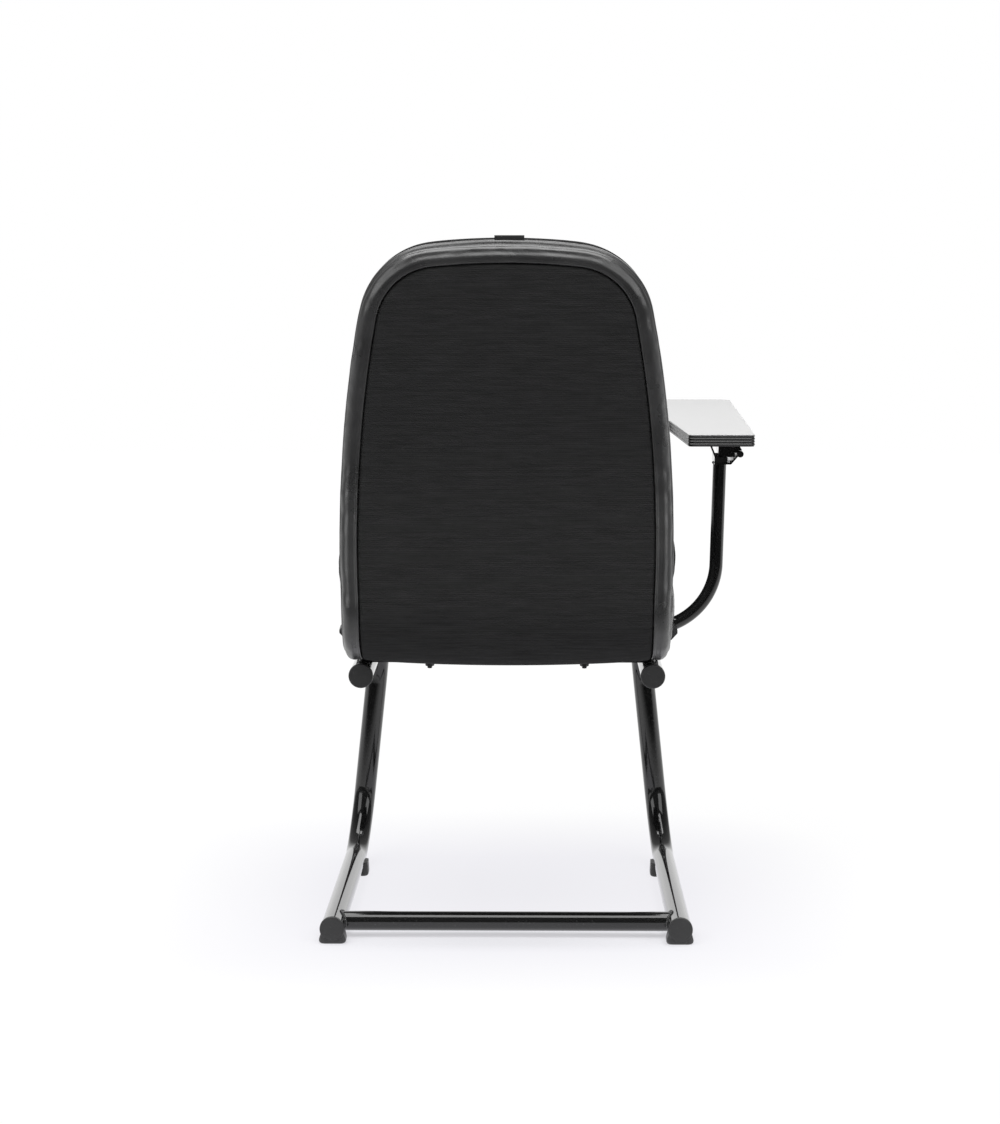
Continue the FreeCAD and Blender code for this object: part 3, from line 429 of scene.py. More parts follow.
def scuff_group():
    """Thin rubs and specks of dust where a chair gets touched."""
    tree, ins, outs = new_group("scuffs", "Rubs", "Dust", Scale=14.0, Amount=0.3)
    vector = ins["Vector"]
    amount = ins["Amount"]
    drawn = stretched(tree, vector, scale=(1.0, 7.0, 2.5), rotation=(0.4, 0.2, 0.7))
    streaks = clouds(tree, drawn, ins["Scale"], detail=5.0)
    patches = clouds(tree, vector, scale=5.0, detail=2.0)
    lines = between(tree, streaks, low=0.56, high=0.72)
    where = between(tree, patches, low=0.42, high=0.62)
    rubs = maths(tree, "MULTIPLY", maths(tree, "MULTIPLY", lines, where), amount)
    specks = clouds(tree, vector, scale=420.0, detail=1.0)
    dust = maths(tree, "MULTIPLY", between(tree, specks, low=0.66, high=0.78), amount)
    tree.links.new(rubs, outs["Rubs"])
    tree.links.new(dust, outs["Dust"])
    return tree


def weave_group():
    """Cloth with a rib across it: thick weft ribs, fine warp threads between them; its shade is painted
    darker in the grooves between the ribs, and uneven along the yarn.
    """
    rib_wander = 0.0012
    row_offset = 0.5
    rib_share = 0.5
    thread_share = 0.25
    groove_painted_shade = 0.22
    tree, ins, outs = new_group("ribbed_weave", "Height", "Shade", Rib=0.0022, Thread=0.0011)
    vector = ins["Vector"]
    wander = clouds(tree, vector, scale=60.0, detail=3.0)
    axes = node(tree, "ShaderNodeSeparateXYZ", {0: vector})
    down = maths(tree, "MULTIPLY_ADD", wander, rib_wander, axes.outputs["Y"])
    row = maths(tree, "DIVIDE", down, ins["Rib"])
    column = maths(tree, "DIVIDE", axes.outputs["X"], ins["Thread"])
    offset = maths(tree, "MULTIPLY", maths(tree, "FLOOR", row), row_offset)
    rib = maths(tree, "SINE", maths(tree, "MULTIPLY", row, math.tau))
    thread = maths(tree, "SINE", maths(tree, "MULTIPLY", maths(tree, "ADD", column, offset), math.tau))
    height = maths(tree, "MULTIPLY_ADD", thread, thread_share, maths(tree, "MULTIPLY", rib, rib_share))
    along = stretched(tree, vector, scale=(18.0, 260.0, 18.0))
    slub = clouds(tree, along, scale=1.0, detail=4.0, roughness=0.65)
    uneven = between(tree, slub, low=0.3, high=0.7, start=0.25, end=0.95)
    tree.links.new(height, outs["Height"])
    # Painted shade: the shade is darker where the weave lies low, plus the yarn's own uneven tone
    tree.links.new(maths(tree, "MULTIPLY_ADD", height, groove_painted_shade, uneven), outs["Shade"])
    return tree


def crease_group():
    """Soft creases of a stretched vinyl skin."""
    warp_reach = 0.06
    ridge_share = -1.6
    middle = 0.5
    tree, ins, outs = new_group("vinyl_creases", "Height", "Shade", Scale=34.0)
    vector = ins["Vector"]
    warp = clouds(tree, vector, scale=12.0, detail=2.0, output="Color")
    scaled = result(tree, "ShaderNodeVectorMath", {0: warp, "Scale": warp_reach}, operation="SCALE")
    bent = result(tree, "ShaderNodeVectorMath", {0: vector, 1: scaled}, operation="ADD")
    folds = clouds(tree, bent, ins["Scale"], detail=3.0)
    ridge = maths(tree, "ABSOLUTE", maths(tree, "SUBTRACT", folds, middle))
    tree.links.new(maths(tree, "MULTIPLY_ADD", ridge, ridge_share, folds), outs["Height"])
    tree.links.new(between(tree, folds, low=0.35, high=0.65), outs["Shade"])
    return tree


GRAIN = grain_group()
SCUFFS = scuff_group()
WEAVE = weave_group()
CREASES = crease_group()


# Finishes

def mixed(tree, mask, dark, light):
    """A colour between two others; its inputs 6 and 7 and its output 2 are the colour ones."""
    return node(tree, "ShaderNodeMix", {0: mask, 6: dark, 7: light}, data_type="RGBA").outputs[2]


class Look:
    """A material that is built up from the shared groups."""

    def __init__(self, name, specular=0.5, metallic=0.0, coat=0.0, coat_roughness=0.1, coords="Object"):
        self.made = bpy.data.materials.new(name)
        self.made.use_nodes = True
        self.tree = self.made.node_tree
        self.shader = self.tree.nodes["Principled BSDF"]
        values = {"Specular IOR Level": specular, "Metallic": metallic, "Coat Weight": coat,
                  "Coat Roughness": coat_roughness}
        for key, value in values.items():
            self.shader.inputs[key].default_value = value
        if coords == "UV":
            self.vector = result(self.tree, "ShaderNodeUVMap", uv_map="cloth")
        else:
            self.vector = node(self.tree, "ShaderNodeTexCoord").outputs["Object"]

    def use(self, group, **values):
        links = {"Vector": self.vector, **values}
        return node(self.tree, "ShaderNodeGroup", links, node_tree=group).outputs

    def set(self, key, socket):
        self.tree.links.new(socket, self.shader.inputs[key])

    def bump(self, height, distance, under=None):
        made = node(self.tree, "ShaderNodeBump", {"Height": height, "Distance": distance})
        if under is not None:
            self.tree.links.new(under, made.inputs["Normal"])
        return made.outputs[0]


def grey(level):
    return (level, level, level, 1.0)


DUST_SHARE = 0.35
RUB_ROUGHNESS = 0.35
CLOTH_DUST = 0.12
CLOTH_SCUFFS = 0.08
VINYL_DUST = 0.2
VINYL_SCUFFS = 0.15
VINYL_RUB_ROUGHNESS = 0.2
VINYL_CREASE_DEPTH = 0.0012
VINYL_GRAIN_DEPTH = 0.00012
WOOD_DARK = (0.016, 0.013, 0.011, 1.0)
WOOD_LIGHT = (0.034, 0.029, 0.025, 1.0)
WOOD_GRAIN_DEPTH = 0.0003


def coated(name, dark, light, smooth, rough, grain_depth, grain=900.0, scuffs=0.1, **shader):
    """Paint, plastic, rubber, metal and laminate: mottled shade, grain, rubs and dust."""
    look = Look(name, **shader)
    grained = look.use(GRAIN, Fine=grain)
    rubbed = look.use(SCUFFS, Amount=scuffs)
    shade = mixed(look.tree, grained["Mottle"], grey(dark), grey(light))
    dust = grey(DUST_SHARE + (1 - DUST_SHARE) * light)
    look.set("Base Color", mixed(look.tree, rubbed["Dust"], shade, dust))
    spread = between(look.tree, grained["Mottle"], start=smooth, end=rough)
    look.set("Roughness", maths(look.tree, "MULTIPLY_ADD", rubbed["Rubs"], RUB_ROUGHNESS, spread))
    look.set("Normal", look.bump(grained["Height"], grain_depth))
    return look.made


def cloth(name, dark, light, rib, thread, depth):
    look = Look(name, specular=0.12, coords="UV")
    woven = look.use(WEAVE, Rib=rib, Thread=thread)
    rubbed = look.use(SCUFFS, Amount=CLOTH_SCUFFS)
    # The weave's shade holds painted shade in its grooves as well as the yarn's own tone
    shade = mixed(look.tree, woven["Shade"], grey(dark), grey(light))
    look.set("Base Color", mixed(look.tree, rubbed["Dust"], shade, grey(CLOTH_DUST)))
    look.set("Roughness", between(look.tree, woven["Shade"], start=0.95, end=0.8))
    look.set("Normal", look.bump(woven["Height"], depth))
    return look.made


def vinyl(name, dark, light):
    look = Look(name, specular=0.8)
    grained = look.use(GRAIN, Fine=1300.0, Broad=22.0)
    creased = look.use(CREASES, Scale=13.0)
    rubbed = look.use(SCUFFS, Amount=VINYL_SCUFFS)
    shade = mixed(look.tree, creased["Shade"], grey(dark), grey(light))
    look.set("Base Color", mixed(look.tree, rubbed["Dust"], shade, grey(VINYL_DUST)))
    spread = between(look.tree, grained["Mottle"], start=0.24, end=0.38)
    rough = maths(look.tree, "MULTIPLY_ADD", rubbed["Rubs"], VINYL_RUB_ROUGHNESS, spread)
    look.set("Roughness", rough)
    folds = look.bump(creased["Height"], VINYL_CREASE_DEPTH)
    look.set("Normal", look.bump(grained["Height"], VINYL_GRAIN_DEPTH, under=folds))
    return look.made


def stained_wood(name):
    look = Look(name, specular=0.3)
    along = stretched(look.tree, look.vector, scale=(1.5, 14.0, 14.0))
    grained = look.use(GRAIN, Vector=along, Fine=40.0, Broad=3.0)
    look.set("Base Color", mixed(look.tree, grained["Mottle"], WOOD_DARK, WOOD_LIGHT))
    look.set("Roughness", between(look.tree, grained["Height"], low=0.2, high=0.8, start=0.5, end=0.75))
    look.set("Normal", look.bump(grained["Height"], WOOD_GRAIN_DEPTH))
    return look.made


LOOKS = {
    "frame_paint": coated("black_enamel", dark=0.005, light=0.008, smooth=0.07, rough=0.12, grain=260.0,
                          grain_depth=0.00004, scuffs=0.08, coat=0.3, coat_roughness=0.05),
    "black_plastic": coated("moulded_plastic", dark=0.022, light=0.034, smooth=0.36, rough=0.5, grain=1500.0,
                            grain_depth=0.00012, scuffs=0.12),
    "black_steel": coated("blackened_steel", dark=0.035, light=0.06, smooth=0.28, rough=0.45, grain=700.0,
                          grain_depth=0.00008, metallic=0.9),
    "plywood": stained_wood("stained_ply"),
    "black_cloth": cloth("seat_cloth", dark=0.010, light=0.024, rib=0.0022, thread=0.0022, depth=0.0004),
    "black_weave": cloth("panel_cloth", dark=0.012, light=0.027, rib=0.0026, thread=0.0013, depth=0.0005),
    "grey_vinyl": vinyl("border_vinyl", dark=0.020, light=0.032),
    "tag_ribbon": cloth("ribbon", dark=0.010, light=0.03, rib=0.0007, thread=0.0005, depth=0.0001),
    "rubber": coated("block_rubber", dark=0.014, light=0.022, smooth=0.6, rough=0.8, grain_depth=0.0001),
    "pale_laminate": coated("pale_laminate", dark=0.465, light=0.485, smooth=0.42, rough=0.52, grain=1800.0,
                            grain_depth=0.00003, scuffs=0.05, specular=0.15),
    "black_edging": coated("edging_plastic", dark=0.008, light=0.012, smooth=0.18, rough=0.3,
                           grain_depth=0.00005),
}
WELD_LOOK = coated("painted_weld", dark=0.010, light=0.02, smooth=0.12, rough=0.3, grain=600.0,
                   grain_depth=0.0002, coat=0.4, coat_roughness=0.08)


# Borders and cover panels

BAND_TUCK = 0.986
BAND_TUCK_RUN = 0.12

# The border's section in millimetres: in from its outline, and in from the shell's rear face
BAND_SECTION = np.array([
    (23.3, 8.6), (23.5, 3.6), (23.0, 1.0), (21.9, -0.35), (20.3, -0.5), (18.6, 0.35), (16.4, -0.2),
    (13.6, -0.6), (10.9, -0.2), (8.4, 0.8), (6.3, 2.3), (4.6, 4.2), (3.3, 6.4), (2.4, 8.7), (1.8, 10.8),
    (0.7, 11.9), (0.2, 12.9), (0.5, 14.0), (1.8, 14.8), (1.9, 16.2), (1.8, 18.0), (1.9, 19.4), (4.0, 20.2),
    (22.8, 20.2), (23.0, 13.0)])
FLARE_INSET = 4.2
FLARE_SPAN = (14.8, 18.0)
SIDE_FLARE = 1.2
TOP_FLARE = 0.6
TOP_ROLL = 3.4
TOP_ROLL_MIDDLE = 8.6
TOP_ROLL_REACH = 8.0
TOP_ROLL_DEPTH = 9.0
TOP_POWER = 1.5
SKIN_INSET = 22.5
SKIN_DEPTH = 12.0
HELD_SKIN = 0.25
SIDE_PUCKER_INSET = 9.0
FACE_PUCKER_INSET = 4.0
FACE_PUCKER_DEPTH = 4.0
PUCKER_SCALE = 42.0
PUCKER_DEPTH_SCALE = 0.05
PUCKER_BROAD = 0.9
PUCKER_FINE = 0.4
PUCKER_FINE_SCALE = 2.7


def pucker(x, run, depth, seed):
    """How far the vinyl skin is drawn out of shape, in millimetres."""
    spot = Vector((x * PUCKER_SCALE + seed, run * PUCKER_SCALE, depth * PUCKER_DEPTH_SCALE))
    return noise.noise(spot) * PUCKER_BROAD + noise.noise(spot * PUCKER_FINE_SCALE) * PUCKER_FINE


def band_place(inset, depth, drawn, top):
    """Where a point of the border's section goes: flared at the edge, puckered, and rolled at the top."""
    if depth >= SKIN_DEPTH or inset >= SKIN_INSET:
        drawn = drawn * HELD_SKIN
    new_inset = inset
    new_depth = depth
    if inset < FLARE_INSET:
        new_inset -= (SIDE_FLARE + TOP_FLARE * top) * ramp(depth, *FLARE_SPAN)
    if inset < SIDE_PUCKER_INSET:
        new_inset -= drawn
    if FACE_PUCKER_INSET < inset < SKIN_INSET and depth < FACE_PUCKER_DEPTH:
        new_depth -= drawn
    if depth < TOP_ROLL_DEPTH and abs(inset - TOP_ROLL_MIDDLE) < TOP_ROLL_REACH:
        turn = math.pi / 2 * (inset - TOP_ROLL_MIDDLE) / TOP_ROLL_REACH
        new_depth += TOP_ROLL * top * math.cos(turn) ** 2
    return new_inset * MM, new_depth * MM


def border_band(name, path, seed, flared):
    """The vinyl border: its section swept along the outline, with puckers where the skin turns the corner."""
    rings = []
    for (x, run), out in zip(path, right_of(path)):
        top = max(0.0, -out[1]) ** TOP_POWER if flared else 0.0
        ring = []
        for section_inset, section_depth in BAND_SECTION:
            drawn = pucker(x, run, section_depth, seed)
            inset, depth = band_place(section_inset, section_depth, drawn, top)
            ring.append(on_shell(x - out[0] * inset, run - out[1] * inset, depth))
        rings.append(ring)
    return softened(lofted(name, rings))


def tucked(path):
    """Draws the seat's border in a little, more towards its front."""
    share = ramp(path[:, 1], COVER_END, COVER_END + BAND_TUCK_RUN)
    return np.column_stack([path[:, 0] * (1 - (1 - BAND_TUCK) * share), path[:, 1]])


back_path = mirrored(border[:split + 1])
seat_path = tucked(mirrored(border[split:][::-1])[::-1])
back_band = border_band("back_border", back_path, seed=3.0, flared=True)
finished(back_band, "grey_vinyl", "back_edge_band")
seat_band = border_band("seat_border", seat_path, seed=11.0, flared=False)
finished(seat_band, "grey_vinyl", "seat_edge_band")

# A panel's rings as shares of its outline, from the middle of its face to its edge and back behind it
PANEL_EDGE_SHARES = (0.89, 0.92, 0.945, 0.963, 0.977, 0.987, 0.994, 1.0)
PANEL_EVEN_SHARE = 0.86
PANEL_EVEN_RINGS = 24
PANEL_SHARES = np.concatenate([np.linspace(0, PANEL_EVEN_SHARE, PANEL_EVEN_RINGS), PANEL_EDGE_SHARES])
PANEL_REAR_SHARES = (1.0, 0.9, 0.75, 0.6, 0.45, 0.3, 0.15, 0.01)
PANEL_LEAST_SHARE = 0.01
PANEL_BASE_STEP = 0.008
SEAM_REACH = 1.8
CROWN_REACH = 22.0
SWELL_REACH = 12.0
SWELL_PLACE = 0.8
SWELL_RUN = RUN_BELLY_START + SWELL_PLACE * (RUN_BELLY_END - RUN_BELLY_START)
SWELL_LENGTH = 0.042
SWELL_HALF_WIDTH = 0.187


def cover_panel(name, path, sink, crown, bulge):
    """A cloth panel on the board: it dips into the seam at its edge and swells out over the belly."""
    edge = path - right_of(path) * PANEL_INSET
    base = resampled(np.array([edge[-1], edge[0]]), PANEL_BASE_STEP)[1:-1]
    loop = np.vstack([edge, base])
    centre = np.array([0.0, (loop[:, 1].min() + loop[:, 1].max()) / 2])
    rings = []
    places = []
    for share in PANEL_SHARES:
        ring = centre + (loop - centre) * max(share, PANEL_LEAST_SHARE)
        inside = (1 - share) * np.linalg.norm(loop - centre, axis=1) / MM
        depth = sink * np.exp(-inside / SEAM_REACH) - crown * (1 - np.exp(-inside / CROWN_REACH))
        swell = np.clip(1 - (ring[:, 0] / SWELL_HALF_WIDTH) ** 2, 0, 1)
        near = np.exp(-((ring[:, 1] - SWELL_RUN) / SWELL_LENGTH) ** 2)
        depth = depth - bulge * swell * near * (1 - np.exp(-inside / SWELL_REACH))
        rings.append(on_shell(ring[:, 0], ring[:, 1], depth * MM))
        places.append(ring)
    for share in PANEL_REAR_SHARES:
        ring = centre + (loop - centre) * share
        rings.append(on_shell(ring[:, 0], ring[:, 1], PANEL_DEPTH))
        places.append(ring)
    obj = lofted(name, rings)
    flat_map(obj, np.vstack(places))
    return obj


back_panel = cover_panel("back_cover", back_path, sink=5.0, crown=1.2, bulge=6.8)
finished(back_panel, "black_weave", "back_panel")
seat_panel = cover_panel("seat_base_cover", seat_path, sink=4.0, crown=-0.3, bulge=0.0)
finished(seat_panel, "black_weave", "seat_base_panel")


# Cushions

SEAT_TUCK = 0.964
SEAT_FULL = 0.994
SEAT_SHIFT = 0.0022
SEAT_LIFT = 0.005
PAD_VOXEL = 0.0055
PAD_FRAMES = 20
PAD_SHRINK = 0.004
PAD_LIMIT = 0.014
PAD_MERGE = 0.0001
PAD_RELAX = 0.5
PAD_RELAX_TURNS = 4
LEAST_MOVE = 1e-9
HELD_REAR = (0.030, 0.004)
HELD_WALL = (0.004, 0.006)
HELD_WALL_SHARE = 0.97
HELD_SEAM = (0.011, 0.005)
TOP_SLOPE_SPAN = (0.0200, 0.0255)
TOP_SLOPE_DROP = 0.0060
TOP_SLOPE_POWER = 0.8
TOP_SLOPE_STEP = 0.003
TOP_WALL_DROP = 0.0038
TOP_WALL_DEPTH = 0.052
WALL_EDGE_DEPTH = PIPING_INSET * 1.2

side_tree = nearest_in([(0, y, z) for y, z in side_path])


def depth_in_shell(point):
    """How far a point is inside the shell's rear face or underside."""
    return side_tree.find((0, point.y, point.z))[2]


def pad_seam(outline, base, front_depth, placed):
    """The seam line along a pad's front edge."""
    half = resampled(crowned_outline(*outline, base=base), BORDER_STEP)
    seam = mirrored(half + right_of(half) * PIPING_INSET)
    return np.array([placed(x, value, front_depth - PIPING_INSET) for x, value in seam])


def back_place(x, z, depth):
    return on_shell(x, run_at_height(z), depth)


def seat_place(x, forward, depth):
    return on_shell(x * SEAT_FULL + SEAT_SHIFT, run_at_reach(-forward), depth)


def faded(value, limit, blend):
    """How far a value is below a limit, from 0 there to 1 past the blend."""
    return float(np.clip((limit - value) / blend, 0, 1))


def hold(obj, seam, front_depth):
    """Holds a pad's rear, its wall and a strip along its seam, and says how firmly each point is held."""
    line = nearest_in(seam)
    group = obj.vertex_groups.new(name="held")
    weights = np.zeros(len(obj.data.vertices))
    for vertex in obj.data.vertices:
        depth = depth_in_shell(vertex.co)
        rear = faded(depth, *HELD_REAR)
        wall = HELD_WALL_SHARE * faded(depth, front_depth - HELD_WALL[0], HELD_WALL[1])
        weight = max(rear, wall, faded(line.find(vertex.co)[2], *HELD_SEAM))
        if weight > 0:
            group.add([vertex.index], weight, "REPLACE")
        weights[vertex.index] = np.float32(weight)
    return weights


def even_copy(name, cad_node):
    """A copy of a solid's mesh with even faces."""
    mesh = bpy.data.objects[cad_node].data.copy()
    obj = added(name, mesh)
    edit = bmesh.new()
    edit.from_mesh(mesh)
    bmesh.ops.remove_doubles(edit, verts=edit.verts, dist=PAD_MERGE)
    edit.to_mesh(mesh)
    edit.free()
    mesh.materials.clear()
    remesh = obj.modifiers.new("even", "REMESH")
    remesh.mode = "VOXEL"
    remesh.voxel_size = PAD_VOXEL
    return plain(obj)


def pad(name, cad_node, seam, front_depth, sloped=False):
    """A cushion from its solid: shrunk, blown up as cloth with its seam and its rear held, then smoothed."""
    obj = even_copy(name, cad_node)
    weights = hold(obj, seam, front_depth)
    before = np.array([v.co for v in obj.data.vertices])
    normals = np.array([v.normal for v in obj.data.vertices])
    start = before - normals * (PAD_SHRINK * (1 - weights))[:, None]
    obj.data.vertices.foreach_set("co", start.ravel())
    obj.data.update()
    blown(obj)
    move = np.array([v.co for v in obj.data.vertices]) - start
    size = np.linalg.norm(move, axis=1)
    after = start + move * np.minimum(1, PAD_LIMIT / np.maximum(size, LEAST_MOVE))[:, None]
    obj.data.vertices.foreach_set("co", after.ravel())
    if sloped:
        slope_top(obj)
    else:
        fill_out(obj, front_depth)
    obj.data.update()
    smooth = obj.modifiers.new("relax", "SMOOTH")
    smooth.factor = PAD_RELAX
    smooth.iterations = PAD_RELAX_TURNS
    plain(obj)
    softened(obj)
    obj.data.shade_smooth()
    return obj


def slope_top(obj):
    """Draws in the rear edge of the back pad's top, so that it rolls from the border up to the piping."""
    half = resampled(crowned_outline(*BACK_PAD_OUTLINE, base=BELLY_START[1]), TOP_SLOPE_STEP)
    outward = -right_of(half)
    outline = nearest_in([(x, 0, z) for x, z in half])
    for vertex in obj.data.vertices:
        x = vertex.co.x
        z = vertex.co.z
        nearest = outline.find((abs(x), 0, z))[1]
        out = outward[nearest]
        inset = (half[nearest] - (abs(x), z)) @ out
        depth = depth_in_shell(vertex.co)
        lowered = TOP_SLOPE_DROP * (1 - ramp(depth, *TOP_SLOPE_SPAN) ** TOP_SLOPE_POWER)
        if depth < TOP_WALL_DEPTH:
            lowered += TOP_WALL_DROP
        drawn = lowered * max(0.0, out[1]) ** TOP_POWER - inset
        if drawn > 0:
            vertex.co.x -= math.copysign(out[0] * drawn, x)
            vertex.co.z -= out[1] * drawn
        vertex.co.x += top_shift(z)


def fill_out(obj, front_depth):
    """Fills the seat pad towards its top edge, where it is widest."""
    for vertex in obj.data.vertices:
        share = ramp(depth_in_shell(vertex.co), CUSHION_BACK_DEPTH, front_depth)
        vertex.co.x *= SEAT_TUCK + (SEAT_FULL - SEAT_TUCK) * share
        vertex.co.x += SEAT_SHIFT * share
        vertex.co.z += SEAT_LIFT * share ** 2


def blown(obj):
    """Runs the cloth with pressure inside and keeps its last frame."""
    scene = bpy.context.scene
    modifier = obj.modifiers.new("blow", "CLOTH")
    settings = modifier.settings
    settings.quality = 5
    settings.mass = 0.3
    settings.tension_stiffness = 18
    settings.compression_stiffness = 18
    settings.shear_stiffness = 8
    settings.bending_stiffness = 1.0
    settings.use_pressure = True
    settings.uniform_pressure_force = 4.0
    settings.vertex_group_mass = "held"
    settings.effector_weights.gravity = 0.0
    modifier.point_cache.frame_start = 1
    modifier.point_cache.frame_end = PAD_FRAMES
    for frame_number in range(1, PAD_FRAMES + 1):
        scene.frame_set(frame_number)
    plain(obj)
    scene.frame_set(1)


def two_covers(obj, front_depth, seat):
    """The wall of a pad takes the vinyl and its front the cloth, either side of the piping."""
    covered(obj.data, LOOKS["black_cloth"], LOOKS["grey_vinyl"])
    for polygon in obj.data.polygons:
        polygon.material_index = int(depth_in_shell(polygon.center) < front_depth - WALL_EDGE_DEPTH)
    flat_map(obj, [(v.co.x, -v.co.y if seat else v.co.z) for v in obj.data.vertices])


# The gusset's section in millimetres: in from the pad's outline at its sides, the same at its top, and depth
GUSSET_SECTION = np.array([
    (2.2, 9.0, 17.0), (1.0, 8.2, 18.4), (0.5, 7.0, 19.2), (0.2, 5.4, 20.1), (0.0, 3.9, 21.0),
    (-0.3, 2.8, 22.2), (-0.4, 2.2, 24.6), (-0.4, 2.0, 32.0), (-0.4, 2.0, 40.0), (-0.3, 2.1, 46.5),
    (0.7, 2.4, 51.3), (2.5, 3.6, 54.8), (4.4, 5.4, 54.6), (2.6, 4.8, 48.0), (2.2, 5.0, 36.0),
    (2.4, 7.0, 27.0), (3.4, 11.0, 19.0)])
GUSSET_BASE = 0.448
GUSSET_PUCKER = 0.35
GUSSET_PUCKER_SCALE = 30.0
GUSSET_DEPTH_SCALE = 0.06
BACK_SEAM_BASE = 0.452
SEAT_SEAM_BASE = -0.118


def gusset(name):
    """The strip of vinyl round the back pad: flat at the sides, rolled up from the border at the top."""
    half = resampled(crowned_outline(*BACK_PAD_OUTLINE, base=GUSSET_BASE), OUTLINE_STEP)
    outward = -right_of(half)
    outward[0] = (0, 1)
    rings = []
    for (x, z), out in zip(mirrored(half), mirrored(outward)):
        top = max(0.0, out[1]) ** TOP_POWER
        ring = []
        for side_inset, top_inset, depth in GUSSET_SECTION:
            spot = (x * GUSSET_PUCKER_SCALE, z * GUSSET_PUCKER_SCALE, depth * GUSSET_DEPTH_SCALE)
            drawn = noise.noise(Vector(spot)) * GUSSET_PUCKER
            inset = (side_inset * (1 - top) + top_inset * top - drawn) * MM
            ring.append(back_place(x - out[0] * inset, z - out[1] * inset, depth * MM))
        rings.append(ring)
    return softened(lofted(name, rings))


finished(gusset("back_gusset"), "grey_vinyl")

back_seam = pad_seam(BACK_PAD_OUTLINE, BACK_SEAM_BASE, BACK_FRONT_DEPTH, back_place)
seat_seam = pad_seam(SEAT_OUTLINE, SEAT_SEAM_BASE, SEAT_FRONT_DEPTH, seat_place)
back_pad = pad("back_pad", "back_cushion", back_seam, BACK_FRONT_DEPTH, sloped=True)
seat_pad = pad("seat_pad", "seat_cushion", seat_seam, SEAT_FRONT_DEPTH)
finished(back_pad, "black_cloth", "back_cushion")
finished(seat_pad, "black_cloth", "seat_cushion")
two_covers(back_pad, BACK_FRONT_DEPTH, seat=False)
two_covers(seat_pad, SEAT_FRONT_DEPTH, seat=True)

PIPING_SIDES = 10
PIPING_PROUD = 0.35
PIPING_EASE_TURNS = 3


def cord_along(name, path):
    """A round cord along a path of points in the chair."""
    angles = np.arange(PIPING_SIDES)[:, None] * math.tau / PIPING_SIDES
    tangent = directions(path)
    side = np.cross(tangent[0], (0, 0, 1.0))
    rings = []
    for point, ahead in zip(path, tangent):
        side = unit(side - ahead * (side @ ahead))
        other = np.cross(ahead, side)
        rings.append(point + PIPING_RADIUS * (np.cos(angles) * side + np.sin(angles) * other))
    return lofted(name, rings)


def hugging(obj, seam):
    """The seam line drawn onto a pad, so that the piping lies half in its surface."""
    bpy.context.view_layer.update()
    rows = []
    for point in seam:
        spot, normal = obj.closest_point_on_mesh(Vector(point))[1:3]
        rows.append(spot + normal * PIPING_RADIUS * PIPING_PROUD)
    rows = np.array(rows)
    for _ in range(PIPING_EASE_TURNS):
        rows[1:-1] = (rows[:-2] + 2 * rows[1:-1] + rows[2:]) / 4
    return rows


for name, seam, cushion in (("back_piping", back_seam, back_pad), ("seat_piping", seat_seam, seat_pad)):
    cord = cord_along(name, hugging(cushion, seam))
    flat_map(cord, [(v.co.x, v.co.z + v.co.y) for v in cord.data.vertices])
    finished(cord, "black_cloth")


# The tag

TAG_LEFT = -0.0225
TAG_RIGHT = 0.0145
TAG_ROOT = (0.2305, 0.8830)
TAG_THICKNESS = 0.0008
TAG_STEP = 0.0009
TAG_COLUMNS = 26
TAG_CURL = 0.0004
TAG_CURL_RATE = 150.0

# The tag's fold from its root: forwards and up
TAG_FOLD = np.array([(0.0005, 0.0), (0.0, 0.005), (0.0002, 0.0105), (0.0012, 0.0123), (0.0024, 0.0107),
                     (0.0026, 0.004), (0.0029, 0.0)])


def folded_tag():
    """A ribbon folded double and caught in the seam above the border."""
    path = resampled(TAG_ROOT + TAG_FOLD * (-1, 1), TAG_STEP)
    loop = np.vstack([path, (path - right_of(path) * TAG_THICKNESS)[::-1]])
    rings = []
    places = []
    for x in np.linspace(TAG_LEFT, TAG_RIGHT, TAG_COLUMNS):
        curl = TAG_CURL * math.sin((x - TAG_LEFT) * TAG_CURL_RATE)
        rings.append([(x, y + curl, z) for y, z in loop])
        places += [(x, i * TAG_STEP) for i in range(len(loop))]
    obj = lofted("folded_tag", rings)
    flat_map(obj, places)
    return obj


finished(folded_tag(), "tag_ribbon", "label_tag")


# Welds and edging by Geometry Nodes

WELD_DROP_SIZES = (0.82, 1.15)
EDGING_SECTION_POINTS = 120
EDGING_OUTER_SHARE = 0.49


def geometry_tree(name, inputs):
    inputs = [("Geometry", GEOMETRY, None), *inputs, ("Material", "NodeSocketMaterial", None)]
    return new_tree("GeometryNodeTree", name, inputs, [("Geometry", GEOMETRY)])


def shown(tree, ins, outs, geometry):
    """The end of a tree: real geometry, shaded smooth, with its material."""
    real = result(tree, "GeometryNodeRealizeInstances", {0: geometry})
    smooth = result(tree, "GeometryNodeSetShadeSmooth", {0: real})
    links = {"Geometry": smooth, "Material": ins["Material"]}
    tree.links.new(result(tree, "GeometryNodeSetMaterial", links), outs[0])
    return tree


def grown(obj, tree, **settings):
    """Runs a tree on an object and keeps the mesh that it makes."""
    modifier = obj.modifiers.new(tree.name, "NODES")
    modifier.node_group = tree
    for item in tree.interface.items_tree:
        if item.in_out == "INPUT" and item.name in settings:
            modifier[item.identifier] = settings[item.name]
    return plain(obj)


